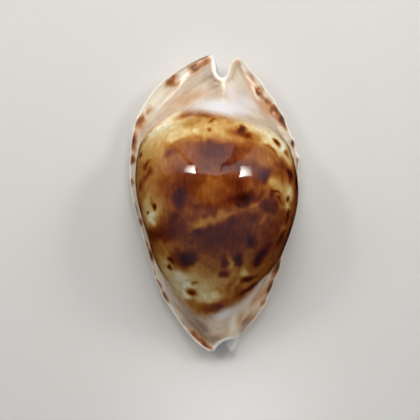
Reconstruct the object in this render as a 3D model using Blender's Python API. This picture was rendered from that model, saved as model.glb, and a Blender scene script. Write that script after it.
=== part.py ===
"""A flanged cowrie shell, one hollow closed solid, lying on its base.

The shell is lofted from sections across its length. Each section is one closed outline: it runs from the
left lip of the aperture out along the base to the left margin, over the flange, the dome and the right
flange, back along the base to the right lip, and then up inside, over the wall of the inner whorl and
under the roof of the hollow, to the left lip again. Two notches are cut through the ends of the loft.

+Y is the posterior end, -X is the side of the outer lip, +Z is up. The origin is under the middle of the
shell, on the surface that it rests on. Every length below is in millimetres.
"""

import math

import bmesh
import bpy
import numpy as np

MM = 0.001

# Outline of the flange seen from above, as (distance along the shell, distance across it).
LEFT_EDGE = ((-30, -0.9), (-28.9, -2.7), (-27.2, -4.5), (-24.6, -6.6), (-20.6, -9.4), (-15, -12.0),
             (-8.4, -14.1), (-2.3, -15.9), (3.7, -17.0), (9.8, -17.2), (15.9, -16.2), (20.4, -14.0),
             (24, -11.2), (27, -7.3), (29, -3.6), (30, -1.0))
RIGHT_EDGE = ((-30, 4.0), (-29.2, 4.5), (-28, 4.9), (-26.8, 5.2), (-25.6, 6.3), (-24.2, 7.8), (-21, 10.1),
              (-15.5, 12.5), (-10.4, 14.2), (-4.4, 16.2), (1.7, 17.2), (8, 17.2), (13.9, 15.7), (19, 13.2),
              (24, 9.9), (27.5, 7.2), (30, 5.2))
# Outline of the dome, the rounded body of the shell, at its widest level.
DOME_LEFT = ((-30, -0.6), (-28.7, -1.8), (-25.6, -4.9), (-23.3, -6.8), (-19.3, -9.1), (-12.1, -11.8),
             (-6.2, -13.5), (-0.9, -15.0), (4.2, -15.8), (9.2, -15.5), (14.5, -14.0), (18, -12.1),
             (22, -8.9), (26, -5.2), (28.5, -2.7), (30, -0.7))
DOME_RIGHT = ((-30, 3.9), (-27.5, 4.6), (-25.8, 5.2), (-21.9, 7.4), (-17.7, 9.7), (-13.5, 12.1),
              (-8.4, 14.4), (-3.3, 16.1), (2, 16.9), (7, 16.4), (11.5, 15.1), (15, 13.6), (19.8, 10.9),
              (24, 7.9), (27.5, 6.0), (30, 4.9))
RIDGE = ((-30, 1.7), (-25, 1.4), (-15, 1.0), (0, 0.6), (15, 0.8), (20, 1.3), (25.3, 1.8), (30, 2.0))
# Heights above the surface that the shell rests on, as (distance along the shell, height).
CREST = ((-30, 4.6), (-27.6, 6.0), (-25, 7.9), (-21, 11.9), (-16, 17.4), (-10, 22.9), (-4, 26.4),
         (2, 27.6), (7, 27.0), (11, 25.1), (14.5, 21.7), (17, 18.0), (19, 14.6), (21, 12.0), (23, 10.4),
         (25.3, 9.5), (30, 8.7))
WIDEST = ((-30, 3.2), (-25, 4.7), (-18, 7.0), (-8, 9.6), (3, 10.6), (12, 10.0), (18, 8.2), (24, 6.9),
          (30, 6.5))
CREASE = ((-30, 3.9), (-25, 4.4), (-18, 4.1), (-8, 3.9), (3, 4.0), (12, 4.6), (18, 5.2), (24, 5.8),
          (30, 6.1))
LEFT_EDGE_HEIGHT = ((-30, 4.2), (-22, 3.8), (-10, 3.8), (0, 4.1), (12, 4.8), (20, 5.5), (26, 6.2),
                    (30, 6.9))
RIGHT_EDGE_HEIGHT = ((-30, 2.6), (-27, 3.0), (-22, 3.8), (-10, 4.0), (0, 4.3), (12, 5.0), (20, 5.7),
                     (30, 6.6))
BASE = ((-30, 1.2), (-27, 0.7), (-23, 0.1), (-15, -0.3), (0, -0.4), (14, -0.3), (21, 0.3), (26, 1.7),
        (30, 3.9))
# The aperture, a slit along the whole base, and the hollow above it.
LEFT_LIP = ((-30, 0.3), (-28.8, 0.5), (-27, 0.1), (-23.5, -2.1), (-18, -4.4), (-12, -5.3), (-5, -5.3),
            (3, -4.5), (11, -2.9), (18, -1.0), (23, 0.3), (26, 1.0), (28, 0.9), (30, -0.1))
RIGHT_LIP = ((-30, 3.2), (-28.8, 2.5), (-27, 2.6), (-23.5, 2.4), (-18, 1.4), (-12, 0.2), (-5, -0.6),
             (3, -0.7), (11, 0.1), (18, 1.3), (23, 2.2), (26, 2.7), (28, 3.3), (30, 4.6))
HOLLOW_LEFT = ((-30, 0.1), (-27.6, -0.1), (-25, -2.0), (-21, -5.1), (-14, -9.2), (-6, -12.4), (2, -14.2),
               (9, -13.8), (14, -11.4), (18, -7.0), (21, -2.6), (24, 0.1), (27, 0.7), (30, -0.3))
HOLLOW_RIGHT = ((-30, 3.4), (-27.6, 2.9), (-25, 3.6), (-21, 5.9), (-14, 10.3), (-6, 13.5), (2, 14.9),
                (9, 13.9), (14, 11.0), (18, 7.2), (21, 4.4), (24, 2.9), (27, 3.2), (30, 4.8))
FLOOR = ((-30, 2.3), (-27, 2.4), (-22, 2.6), (-15, 2.7), (0, 2.7), (15, 2.9), (20, 3.4), (25, 4.5),
         (30, 5.3))
ROOF = ((-30, 3.5), (-27.6, 4.5), (-25, 6.2), (-21, 10.1), (-16, 15.7), (-10, 21.3), (-4, 24.9), (2, 26.1),
        (7, 25.5), (11, 23.5), (14.5, 19.9), (17, 16.0), (19, 12.6), (21, 10.2), (23, 8.8), (25.3, 7.8),
        (30, 7.1))
WHORL = ((-30, 0), (-24, 0.1), (-19, 1.2), (-12, 4.6), (-4, 8.6), (4, 10.6), (10, 9.0), (15, 4.4),
         (18.5, 0.9), (22, 0), (30, 0))
WHORL_SHARE = 0.78

# Low swellings of the margins, as (distance along the shell, how far out, half its length).
LEFT_SWELLINGS = ((-15.4, 0.22, 1.3), (-18.9, 0.25, 1.1), (-24.8, 0.15, 1.2), (4.5, 0.12, 1.5),
                  (16.5, 0.15, 1.5), (24.5, 0.18, 1.6))
RIGHT_SWELLINGS = ((-13.0, 0.28, 1.4), (-17.0, 0.12, 1.0), (-20.5, 0.2, 1.3), (9.2, 0.4, 1.0),
                   (12.6, 0.3, 0.9), (17.6, 0.35, 1.3), (20.9, 0.3, 1.0), (24.8, 0.25, 1.2))

EDGE_THICKNESS = 0.9
LIP_RADIUS = 1.1
GUTTER = 0.35
CANAL_LEDGE = 0.3
FLAT_SHARE = 0.8
BASE_POWER = 2.3
OUTLINE_ROUNDING = 0.25
END_ROUNDING = 0.8
BLEND_ROUNDING = 1.0
SLOPE_POWER = 0.8
# Least and greatest share of its height that the dome goes on below its widest level.
UNDERCUT_LIMITS = (0.05, 0.9)
# Towards each end the dome gives way to a broad slope between these distances from the middle.
POSTERIOR_SLOPE = (11, 22)
ANTERIOR_SLOPE = (10, 24)
# A section is first drawn with this many points a stretch, then traced in even steps and rounded.
DRAWN_POINTS = 160
TRACE_STEP = 0.12

# Teeth: the outer lip is toothed for its whole length, the inner one near the front end only.
TOOTH_PITCH = 2.1
TOOTH_REACH = 0.45
TOOTH_FALL = 0.55
OUTER_TEETH = (-23.1, 23.1)
INNER_TEETH = (-25.2, -10.5)
TOOTH_FADE = 1.0

# The right posterior prong ends this much short of the left one. It is drawn back gradually, between these
# distances along the shell and across it.
SHORT_PRONG = 0.5
SHORT_ALONG = (24, 30)
SHORT_ACROSS = (1, 3)

# Plan outlines of the two notches, as (across, along), open towards the end that they cut.
POSTERIOR_NOTCH = ((-0.35, 30.8), (-0.1, 29.6), (0.25, 28.2), (0.4, 27.0), (0.8, 25.9), (1.77, 25.3),
                   (2.6, 25.9), (2.95, 27.0), (3.4, 28.3), (4.1, 29.3), (5.3, 30.8))
ANTERIOR_NOTCH = ((7.2, -27.4), (5.0, -27.55), (3.3, -27.55), (2.1, -27.9), (1.2, -28.45), (0.55, -29.1),
                  (0.1, -29.9), (-0.1, -30.8))
POSTERIOR_SILL = 6.1
ANTERIOR_SILL = 2.75
NOTCH_TOP = 12.0
NOTCH_END = 32.0

# Sections stand half a tooth apart, and each stretch of a section has this many steps.
SECTION_STEP = TOOTH_PITCH / 2
HALF_LENGTH = 30.0
STEPS = {"left base": 7, "left edge": 1, "left flange": 4, "dome": 20, "right flange": 4, "right edge": 1,
         "right base": 7, "right lip": 2, "whorl": 6, "right floor": 1, "roof": 13, "left floor": 2,
         "left lip": 2}

SHELL_COLOUR = (0.42, 0.22, 0.10, 1.0)
SHELL_ROUGHNESS = 0.12


def curve(knots):
    """A natural cubic spline through (position, value) knots, as a function of the position."""
    x, y = np.array(knots, float).T
    h = np.diff(x)
    system = np.eye(len(x))
    right = np.zeros(len(x))
    for i in range(1, len(x) - 1):
        system[i, i - 1:i + 2] = h[i - 1], 2 * (h[i - 1] + h[i]), h[i]
        right[i] = 6 * ((y[i + 1] - y[i]) / h[i] - (y[i] - y[i - 1]) / h[i - 1])
    bend = np.linalg.solve(system, right)

    def value(at):
        i = np.clip(np.searchsorted(x, at) - 1, 0, len(h) - 1)
        a, b = x[i + 1] - at, at - x[i]
        cubic = (bend[i] * a ** 3 + bend[i + 1] * b ** 3) / (6 * h[i])
        return cubic + (y[i] / h[i] - bend[i] * h[i] / 6) * a + (y[i + 1] / h[i] - bend[i + 1] * h[i] / 6) * b

    return value


RAILS = {name: curve(knots) for name, knots in {
    "left edge": LEFT_EDGE, "right edge": RIGHT_EDGE, "dome left": DOME_LEFT, "dome right": DOME_RIGHT,
    "ridge": RIDGE, "crest": CREST, "widest": WIDEST, "crease": CREASE, "left edge height": LEFT_EDGE_HEIGHT,
    "right edge height": RIGHT_EDGE_HEIGHT, "base": BASE, "left lip": LEFT_LIP, "right lip": RIGHT_LIP,
    "hollow left": HOLLOW_LEFT, "hollow right": HOLLOW_RIGHT, "floor": FLOOR, "roof": ROOF, "whorl": WHORL,
}.items()}


def swelling(y, swellings):
    """How far the low swellings of a margin stand out at one distance along the shell."""
    return sum(out * math.exp(-((y - middle) / half) ** 2) for middle, out, half in swellings)


def smoothstep(low, high, at):
    """0 up to the low value, 1 from the high one on, and a smooth rise between them."""
    t = np.clip((at - low) / (high - low), 0, 1)
    return t * t * (3 - 2 * t)


def end_slope(y):
    """0 where the dome is round and 1 towards the ends."""
    low, high = POSTERIOR_SLOPE if y > 0 else ANTERIOR_SLOPE
    return float(smoothstep(low, high, abs(y)))


def tooth(y, span):
    """1 on a tooth's ridge and 0 between teeth, fading out at the ends of the toothed span."""
    ridge = 0.5 + 0.5 * math.cos(2 * math.pi * y / TOOTH_PITCH)
    first, last = span
    begun = smoothstep(first - TOOTH_FADE, first + TOOTH_FADE, y)
    ended = smoothstep(last - TOOTH_FADE, last + TOOTH_FADE, y)
    return ridge * begun * (1 - ended)


def even(points, step=None, steps=None):
    """Points at an even spacing along a polyline, its two ends among them."""
    points = np.asarray(points, float)
    along = np.concatenate([[0], np.cumsum(np.linalg.norm(np.diff(points, axis=0), axis=1))])
    if steps is None:
        steps = max(1, int(round(along[-1] / step)))
    at = np.linspace(0, along[-1], steps + 1)
    return np.column_stack([np.interp(at, along, points[:, k]) for k in (0, 1)])


def base_stretch(edge, lip_x, low, ridge):
    """The underside from a margin to its lip: it falls to the flat and curls up round the lip."""
    t = np.linspace(0, 1, DRAWN_POINTS)
    x = edge[0] + (lip_x - edge[0]) * t
    fall = np.clip(1 - t / FLAT_SHARE, 0, 1) ** BASE_POWER
    z = np.maximum(low + (edge[1] - EDGE_THICKNESS - low) * fall, 0)
    inward = np.clip(1 - np.abs(lip_x - x) / LIP_RADIUS, 0, 1)
    z += LIP_RADIUS * (1 - np.sqrt(1 - inward ** 2)) * (1 - TOOTH_FALL * ridge)
    return np.column_stack([x, z])


def dome_stretch(rails, slope):
    """The dome from one crease to the other: an ellipse that goes on below its widest level, or near the
    ends a ridge with a broad slope on each side."""
    left, right = rails["dome left"], rails["dome right"]
    widest, crease = rails["widest"], rails["crease"]
    height = rails["crest"] - widest
    least, greatest = UNDERCUT_LIMITS
    under = math.asin(min(greatest, max(least, (widest - crease) / height)))
    angle = np.linspace(math.pi + under, -under, DRAWN_POINTS)
    across = (left + right) / 2 + (right - left) / 2 * np.cos(angle)
    ellipse = np.column_stack([across, widest + height * np.sin(angle)])
    x = np.linspace(left, right, DRAWN_POINTS)
    rise = np.minimum((x - left) / (rails["ridge"] - left), (right - x) / (right - rails["ridge"]))
    bell = 0.5 - 0.5 * np.cos(math.pi * np.clip(rise, 0, 1))
    z = crease + (rails["crest"] - crease) * bell ** SLOPE_POWER
    return ellipse * (1 - slope) + np.column_stack([x, z]) * slope


def flange_stretch(start, end):
    """The top of the flange between a margin and a crease, a shallow gutter."""
    t = np.linspace(0, 1, DRAWN_POINTS)
    z = start[1] + (end[1] - start[1]) * t - GUTTER * 4 * t * (1 - t)
    return np.column_stack([start[0] + (end[0] - start[0]) * t, z])


def arch(right, left, foot, top):
    """Half an ellipse from a foot on the right, over the top, to a foot on the left."""
    angle = np.linspace(0, math.pi, DRAWN_POINTS)
    across = (left + right) / 2 + (right - left) / 2 * np.cos(angle)
    return np.column_stack([across, foot + (top - foot) * np.sin(angle)])


def stretches(y):
    """The stretches of the closed outline of the shell at one distance along it, as (x, z) rows."""
    rails = {name: float(value(y)) for name, value in RAILS.items()}
    left_tooth = tooth(y, OUTER_TEETH)
    right_tooth = tooth(y, INNER_TEETH)
    left_lip = rails["left lip"] + TOOTH_REACH * (left_tooth - 0.5)
    right_lip = rails["right lip"] - TOOTH_REACH * 0.5 * right_tooth
    left_edge = (rails["left edge"] - swelling(y, LEFT_SWELLINGS), rails["left edge height"])
    right_edge = (rails["right edge"] + swelling(y, RIGHT_SWELLINGS), rails["right edge height"])
    floor = rails["floor"]
    left_base = base_stretch(left_edge, left_lip, rails["base"], left_tooth)
    right_base = base_stretch(right_edge, right_lip, rails["base"], right_tooth)
    dome = dome_stretch(rails, end_slope(y))
    hollow_left = min(rails["hollow left"], left_lip - CANAL_LEDGE)
    hollow_right = max(rails["hollow right"], right_lip + CANAL_LEDGE)
    whorl_foot = right_lip + WHORL_SHARE * (hollow_right - right_lip)
    whorl = arch(whorl_foot, right_lip, floor, floor + max(rails["whorl"], 0))[::-1]
    roof = arch(hollow_right, hollow_left, floor, rails["roof"])
    return {
        "left base": left_base[::-1],
        "left edge": (left_base[0], left_edge),
        "left flange": flange_stretch(left_edge, dome[0]),
        "dome": dome,
        "right flange": flange_stretch(right_edge, dome[-1])[::-1],
        "right edge": (right_edge, right_base[0]),
        "right base": right_base,
        "right lip": (right_base[-1], whorl[0]),
        "whorl": whorl,
        "right floor": (whorl[-1], roof[0]),
        "roof": roof,
        "left floor": (roof[-1], (left_lip, floor)),
        "left lip": ((left_lip, floor), left_base[-1]),
    }


def rounded(points, reach):
    """The closed outline with its corners rounded by a moving average along it."""
    size = max(1, int(3 * reach / TRACE_STEP))
    weights = np.exp(-0.5 * (np.arange(-size, size + 1) * TRACE_STEP / reach) ** 2)
    weights /= weights.sum()
    padded = np.concatenate([points[-size:], points, points[:size]])
    return np.column_stack([np.convolve(padded[:, k], weights, "valid") for k in (0, 1)])


def section(y):
    """The closed outline at one distance along the shell, with the same steps at every distance."""
    traced = {name: even(points, step=TRACE_STEP) for name, points in stretches(y).items()}
    outline = np.concatenate([points[:-1] for points in traced.values()])
    soft = rounded(outline, END_ROUNDING)
    crisp = rounded(outline, OUTLINE_ROUNDING)
    share = np.concatenate([np.full(len(points) - 1, end_slope(y) if name == "dome" else 0.0)
                            for name, points in traced.items()])
    share = rounded(np.column_stack([share, share]), BLEND_ROUNDING)[:, :1]
    outline = crisp * (1 - share) + soft * share
    result = []
    start = 0
    for name, points in traced.items():
        end = start + len(points) - 1
        stretch = np.concatenate([outline[start:end], outline[end % len(outline)][None]])
        result.append(even(stretch, steps=STEPS[name])[:-1])
        start = end
    return np.concatenate(result)


def loft():
    """The whole shell before its notches are cut."""
    count = int(HALF_LENGTH / SECTION_STEP)
    places = [-HALF_LENGTH] + [k * SECTION_STEP for k in range(-count, count + 1)] + [HALF_LENGTH]
    bm = bmesh.new()
    rings = []
    for y in places:
        ring = []
        for x, z in section(y):
            short = SHORT_PRONG * smoothstep(*SHORT_ALONG, y) * smoothstep(*SHORT_ACROSS, x)
            ring.append(bm.verts.new((x * MM, (y - short) * MM, z * MM)))
        rings.append(ring)
    for near, far in zip(rings, rings[1:]):
        for i in range(len(near)):
            j = (i + 1) % len(near)
            bm.faces.new((near[i], near[j], far[j], far[i]))
    bm.faces.new(rings[0][::-1])
    bm.faces.new(rings[-1])
    sides = [f for f in bm.faces if len(f.verts) == 4]
    bmesh.ops.triangulate(bm, faces=sides, quad_method="SHORT_EDGE")
    bmesh.ops.recalc_face_normals(bm, faces=bm.faces[:])
    mesh = bpy.data.meshes.new("shell")
    bm.to_mesh(mesh)
    bm.free()
    return mesh


def notch_cutter(name, outline, sill):
    """A prism on a notch's plan outline, from inside the canal's height to above the shell."""
    end = math.copysign(NOTCH_END, outline[-1][1])
    plan = list(outline) + [(outline[-1][0], end), (outline[0][0], end)]
    bm = bmesh.new()
    low = bm.faces.new([bm.verts.new((x * MM, y * MM, sill * MM)) for x, y in plan])
    raised = bmesh.ops.extrude_face_region(bm, geom=[low])["geom"]
    lifted = [v for v in raised if isinstance(v, bmesh.types.BMVert)]
    bmesh.ops.translate(bm, verts=lifted, vec=(0, 0, (NOTCH_TOP - sill) * MM))
    bmesh.ops.recalc_face_normals(bm, faces=bm.faces[:])
    mesh = bpy.data.meshes.new(name)
    bm.to_mesh(mesh)
    bm.free()
    cutter = bpy.data.objects.new(name, mesh)
    bpy.context.scene.collection.objects.link(cutter)
    cutter.hide_render = True
    cutter.display_type = "WIRE"
    return cutter


def shell_material():
    """A plain glossy brown, the mean colour of the back."""
    material = bpy.data.materials.new("shell")
    material.use_nodes = True
    principled = material.node_tree.nodes["Principled BSDF"]
    principled.inputs["Base Color"].default_value = SHELL_COLOUR
    principled.inputs["Roughness"].default_value = SHELL_ROUGHNESS
    principled.inputs["Metallic"].default_value = 0.0
    return material


def build():
    """Clears the scene, then lofts the shell and cuts its notches."""
    for old in list(bpy.context.scene.objects):
        bpy.data.objects.remove(old, do_unlink=True)
    shell = bpy.data.objects.new("shell", loft())
    bpy.context.scene.collection.objects.link(shell)
    shell.data.materials.append(shell_material())
    shell.data.shade_smooth()
    for name, outline, sill in (("posterior_notch", POSTERIOR_NOTCH, POSTERIOR_SILL),
                                ("anterior_notch", ANTERIOR_NOTCH, ANTERIOR_SILL)):
        cut = shell.modifiers.new(name, "BOOLEAN")
        cut.operation = "DIFFERENCE"
        cut.solver = "EXACT"
        cut.object = notch_cutter(name, outline, sill)


build()
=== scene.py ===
"""The looks of a margined cowrie shell: its finely modelled skin, its markings and gloss, and a plain stage.

The skin follows the same rails as the solid shell that it replaces, with far finer steps and the low relief
that the solid leaves out. +Y is the posterior end, -X the side of the outer lip, +Z is up. Lengths are in
millimetres up to the moment a mesh is made, and metres from there on.
"""

import itertools
import math

import bmesh
import bpy
import numpy as np
from mathutils import Euler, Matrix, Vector
from mathutils.kdtree import KDTree


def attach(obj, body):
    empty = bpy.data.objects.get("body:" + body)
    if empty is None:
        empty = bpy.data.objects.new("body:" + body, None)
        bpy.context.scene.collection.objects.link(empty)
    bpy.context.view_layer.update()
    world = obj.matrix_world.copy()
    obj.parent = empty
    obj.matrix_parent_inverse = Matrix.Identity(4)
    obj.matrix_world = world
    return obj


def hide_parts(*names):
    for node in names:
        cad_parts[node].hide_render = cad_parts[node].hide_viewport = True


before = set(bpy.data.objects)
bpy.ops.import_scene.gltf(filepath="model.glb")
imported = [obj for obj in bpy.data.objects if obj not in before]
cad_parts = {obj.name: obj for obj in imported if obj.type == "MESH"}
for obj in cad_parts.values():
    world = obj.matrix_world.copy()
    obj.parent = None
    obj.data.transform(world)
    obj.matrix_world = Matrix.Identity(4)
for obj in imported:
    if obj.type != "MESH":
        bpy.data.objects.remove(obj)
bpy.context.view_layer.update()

bl_info = {
    "name": "Cowrie shell",
    "version": (1, 0, 0),
    "blender": (4, 5, 0),
    "location": "3D View > Sidebar > Cowrie",
    "description": "Grows the skin of a margined cowrie, paints its markings and sets a plain stage",
    "category": "Object",
}

MM = 0.001

# Outline of the flange seen from above, as (distance along the shell, distance across it).
LEFT_EDGE = ((-30, -0.9), (-28.9, -2.7), (-27.2, -4.5), (-24.6, -6.6), (-20.6, -9.4), (-15, -12.0),
             (-8.4, -14.1), (-2.3, -15.9), (3.7, -17.0), (9.8, -17.2), (15.9, -16.2), (20.4, -14.0),
             (24, -11.2), (27, -7.3), (29, -3.6), (30, -1.0))
RIGHT_EDGE = ((-30, 4.0), (-29.2, 4.5), (-28, 4.9), (-26.8, 5.2), (-25.6, 6.3), (-24.2, 7.8), (-21, 10.1),
              (-15.5, 12.5), (-10.4, 14.2), (-4.4, 16.2), (1.7, 17.2), (8, 17.2), (13.9, 15.7), (19, 13.2),
              (24, 9.9), (27.5, 7.2), (30, 5.2))
# Outline of the dome, the rounded body of the shell, at its widest level.
DOME_LEFT = ((-30, -0.6), (-28.7, -1.8), (-25.6, -4.9), (-23.3, -6.8), (-19.3, -9.1), (-12.1, -11.8),
             (-6.2, -13.5), (-0.9, -15.0), (4.2, -15.8), (9.2, -15.5), (14.5, -14.0), (18, -12.1),
             (22, -8.9), (26, -5.2), (28.5, -2.7), (30, -0.7))
DOME_RIGHT = ((-30, 3.9), (-27.5, 4.6), (-25.8, 5.2), (-21.9, 7.4), (-17.7, 9.7), (-13.5, 12.1),
              (-8.4, 14.4), (-3.3, 16.1), (2, 16.9), (7, 16.4), (11.5, 15.1), (15, 13.6), (19.8, 10.9),
              (24, 7.9), (27.5, 6.0), (30, 4.9))
RIDGE = ((-30, 1.7), (-25, 1.4), (-15, 1.0), (0, 0.6), (15, 0.8), (20, 1.3), (25.3, 1.8), (30, 2.0))
# Heights above the surface that the shell rests on, as (distance along the shell, height).
CREST = ((-30, 4.6), (-27.6, 6.0), (-25, 7.9), (-21, 11.9), (-16, 17.4), (-10, 22.9), (-4, 26.4),
         (2, 27.6), (7, 27.0), (11, 25.1), (14.5, 21.7), (17, 18.0), (19, 14.6), (21, 12.0), (23, 10.4),
         (25.3, 9.5), (30, 8.7))
WIDEST = ((-30, 3.2), (-25, 4.7), (-18, 7.0), (-8, 9.6), (3, 10.6), (12, 10.0), (18, 8.2), (24, 6.9),
          (30, 6.5))
CREASE = ((-30, 3.9), (-25, 4.4), (-18, 4.1), (-8, 3.9), (3, 4.0), (12, 4.6), (18, 5.2), (24, 5.8),
          (30, 6.1))
LEFT_EDGE_HEIGHT = ((-30, 4.2), (-22, 3.8), (-10, 3.8), (0, 4.1), (12, 4.8), (20, 5.5), (26, 6.2),
                    (30, 6.9))
RIGHT_EDGE_HEIGHT = ((-30, 2.6), (-27, 3.0), (-22, 3.8), (-10, 4.0), (0, 4.3), (12, 5.0), (20, 5.7),
                     (30, 6.6))
BASE = ((-30, 1.2), (-27, 0.7), (-23, 0.1), (-15, -0.3), (0, -0.4), (14, -0.3), (21, 0.3), (26, 1.7),
        (30, 3.9))
# The aperture, a slit along the whole base, and the hollow above it.
LEFT_LIP = ((-30, 0.3), (-28.8, 0.5), (-27, 0.1), (-23.5, -2.1), (-18, -4.4), (-12, -5.3), (-5, -5.3),
            (3, -4.5), (11, -2.9), (18, -1.0), (23, 0.3), (26, 1.0), (28, 0.9), (30, -0.1))
RIGHT_LIP = ((-30, 3.2), (-28.8, 2.5), (-27, 2.6), (-23.5, 2.4), (-18, 1.4), (-12, 0.2), (-5, -0.6),
             (3, -0.7), (11, 0.1), (18, 1.3), (23, 2.2), (26, 2.7), (28, 3.3), (30, 4.6))
HOLLOW_LEFT = ((-30, 0.1), (-27.6, -0.1), (-25, -2.0), (-21, -5.1), (-14, -9.2), (-6, -12.4), (2, -14.2),
               (9, -13.8), (14, -11.4), (18, -7.0), (21, -2.6), (24, 0.1), (27, 0.7), (30, -0.3))
HOLLOW_RIGHT = ((-30, 3.4), (-27.6, 2.9), (-25, 3.6), (-21, 5.9), (-14, 10.3), (-6, 13.5), (2, 14.9),
                (9, 13.9), (14, 11.0), (18, 7.2), (21, 4.4), (24, 2.9), (27, 3.2), (30, 4.8))
FLOOR = ((-30, 2.3), (-27, 2.4), (-22, 2.6), (-15, 2.7), (0, 2.7), (15, 2.9), (20, 3.4), (25, 4.5),
         (30, 5.3))
ROOF = ((-30, 3.5), (-27.6, 4.5), (-25, 6.2), (-21, 10.1), (-16, 15.7), (-10, 21.3), (-4, 24.9), (2, 26.1),
        (7, 25.5), (11, 23.5), (14.5, 19.9), (17, 16.0), (19, 12.6), (21, 10.2), (23, 8.8), (25.3, 7.8),
        (30, 7.1))
WHORL = ((-30, 0), (-24, 0.1), (-19, 1.2), (-12, 4.6), (-4, 8.6), (4, 10.6), (10, 9.0), (15, 4.4),
         (18.5, 0.9), (22, 0), (30, 0))
# The foot of the inner swelling lies at this share of the way from the inner lip to the hollow's wall.
WHORL_SHARE = 0.78

# Low swellings of the margins, as (distance along the shell, how far out, half its length).
LEFT_SWELLINGS = ((-15.4, 0.22, 1.3), (-18.9, 0.25, 1.1), (-24.8, 0.15, 1.2), (4.5, 0.12, 1.5),
                  (16.5, 0.15, 1.5), (24.5, 0.18, 1.6))
RIGHT_SWELLINGS = ((-13.0, 0.28, 1.4), (-17.0, 0.12, 1.0), (-20.5, 0.2, 1.3), (9.2, 0.4, 1.0),
                   (12.6, 0.3, 0.9), (17.6, 0.35, 1.3), (20.9, 0.3, 1.0), (24.8, 0.25, 1.2))

# The margins' thickness, the radius on which the base curls up to a lip, the depth of the flange's gutter,
# and the least that the hollow widens beyond a lip.
EDGE_THICKNESS = 0.9
LIP_RADIUS = 1.1
GUTTER = 0.35
CANAL_LEDGE = 0.3
# From the margin, the base falls to its flat over this share of its width, on a curve of this power.
FLAT_SHARE = 0.8
BASE_POWER = 2.3
# The roundings of a section, of the dome in it near the two ends, and of the change from one to the other.
OUTLINE_ROUNDING = 0.25
END_ROUNDING = 0.8
BLEND_ROUNDING = 1.0
# A rounding takes in this many times its size on each side.
ROUNDING_TAIL = 3
SLOPE_POWER = 0.8
# Least and greatest share of its height that the dome goes on below its widest level.
UNDERCUT_LIMITS = (0.05, 0.9)
# Towards each end the dome gives way to a broad slope between these distances from the middle.
POSTERIOR_SLOPE = (11, 22)
ANTERIOR_SLOPE = (10, 24)
# The stretches of a section are first drawn with this many points, then traced in even steps and rounded.
BASE_POINTS = 300
DOME_POINTS = 700
FLANGE_POINTS = 60
ARCH_POINTS = 200
TRACE_STEP = 0.05

# Teeth: the outer lip is toothed for its whole length, the inner one near the front end only, where the teeth
# reach a share as far. TOOTH_FALL is the share by which the lip curls up less on a tooth.
TOOTH_PITCH = 2.1
TOOTH_REACH = 0.45
INNER_TOOTH_SHARE = 0.5
TOOTH_FALL = 0.55
OUTER_TEETH = (-23.1, 23.1)
INNER_TEETH = (-25.2, -10.5)
TOOTH_FADE = 1.0

# The right posterior prong ends this much short of the left one. It is drawn back gradually, between these
# distances along the shell and across it.
SHORT_PRONG = 0.5
SHORT_ALONG = (24, 30)
SHORT_ACROSS = (1, 3)

# Plan outlines of the two notches, as (across, along), open towards the end that they cut.
POSTERIOR_NOTCH = ((-0.35, 30.8), (-0.1, 29.6), (0.25, 28.2), (0.4, 27.0), (0.8, 25.9), (1.77, 25.3),
                   (2.6, 25.9), (2.95, 27.0), (3.4, 28.3), (4.1, 29.3), (5.3, 30.8))
ANTERIOR_NOTCH = ((7.2, -27.4), (5.0, -27.55), (3.3, -27.55), (2.1, -27.9), (1.2, -28.45), (0.55, -29.1),
                  (0.1, -29.9), (-0.1, -30.8))
POSTERIOR_SILL = 6.1
ANTERIOR_SILL = 2.75
NOTCH_TOP = 12.0
NOTCH_END = 32.0
# The cutters follow smooth curves in these steps along the outline and from level to level.
NOTCH_STEP = 0.3
NOTCH_LEVELS = 0.5

HALF_LENGTH = 30.0
# Steps of each stretch of a section, in the order in which the outline runs.
STEPS = {"left base": 24, "left edge": 5, "left flange": 20, "dome": 150, "right flange": 20,
         "right edge": 5, "right base": 24, "right lip": 6, "whorl": 12, "right floor": 2, "roof": 20,
         "left floor": 5, "left lip": 6}

# Relief too fine for the solid, as beads and grooves along the margin and the notches: (how far in, height,
# half its width).
MARGIN_BEAD = (0.35, 0.10, 0.32)
MARGIN_GROOVE = (1.3, -0.07, 0.6)
NOTCH_BEAD = (0.8, 0.18, 0.45)
# The shoulder along the notches: how far in it starts and how deep it falls.
NOTCH_SHOULDER = (0.5, 0.3)
# The dents never take more than this share of the wall. All relief fades between these distances from the
# two ends.
THINNING = 0.3
RELIEF_FADE = (0.3, 2.0)
# A distance beyond all that the shell has.
FAR = 99.0
# The white rim of the posterior notch is narrower on its right side, by this much and from here to there.
NARROW_RIM = 0.4
NARROW_ACROSS = (1.5, 2.8)
# The keel runs from its first point to its second and rises between these distances from the first.
KEEL = ((1.9, 19.6), (2.05, 24.4))
KEEL_RISE = (-1, 2)
KEEL_HEIGHT = 0.35
KEEL_HALF_WIDTH = 0.55
# Dents and bumps on the upper side: (across, along, half its width, height).
DENTS = ((9.2, 22.9, 0.6, -0.32), (10.8, 20.5, 0.55, -0.3), (9.9, 21.7, 0.5, 0.16), (12.3, 18.9, 0.7, -0.18),
         (15.9, 11.8, 0.6, -0.35), (16.6, 9.4, 0.7, 0.2), (-4.6, 27.0, 0.5, -0.2), (-7.6, 25.2, 0.55, -0.2),
         (-0.3, 22.6, 1.5, -0.4), (14.2, 13.6, 0.8, -0.15), (12.4, -13.6, 0.8, -0.15),
         (11.2, -16.4, 0.7, 0.12), (-3.2, 24.0, 2.2, 0.2), (5.4, 23.2, 1.4, 0.18))
# A vertex of the cut mesh further than this from the grid lies on a cut face. The corners of the cuts are
# softened by this share at each pass, and less between these distances from the notch, which is followed in
# finer steps.
CUT_GAP = 0.35
CUT_SOFTENING = 0.5
CUT_REACH = (0.6, 0.1)
CUT_STEP = NOTCH_STEP / 3

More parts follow.
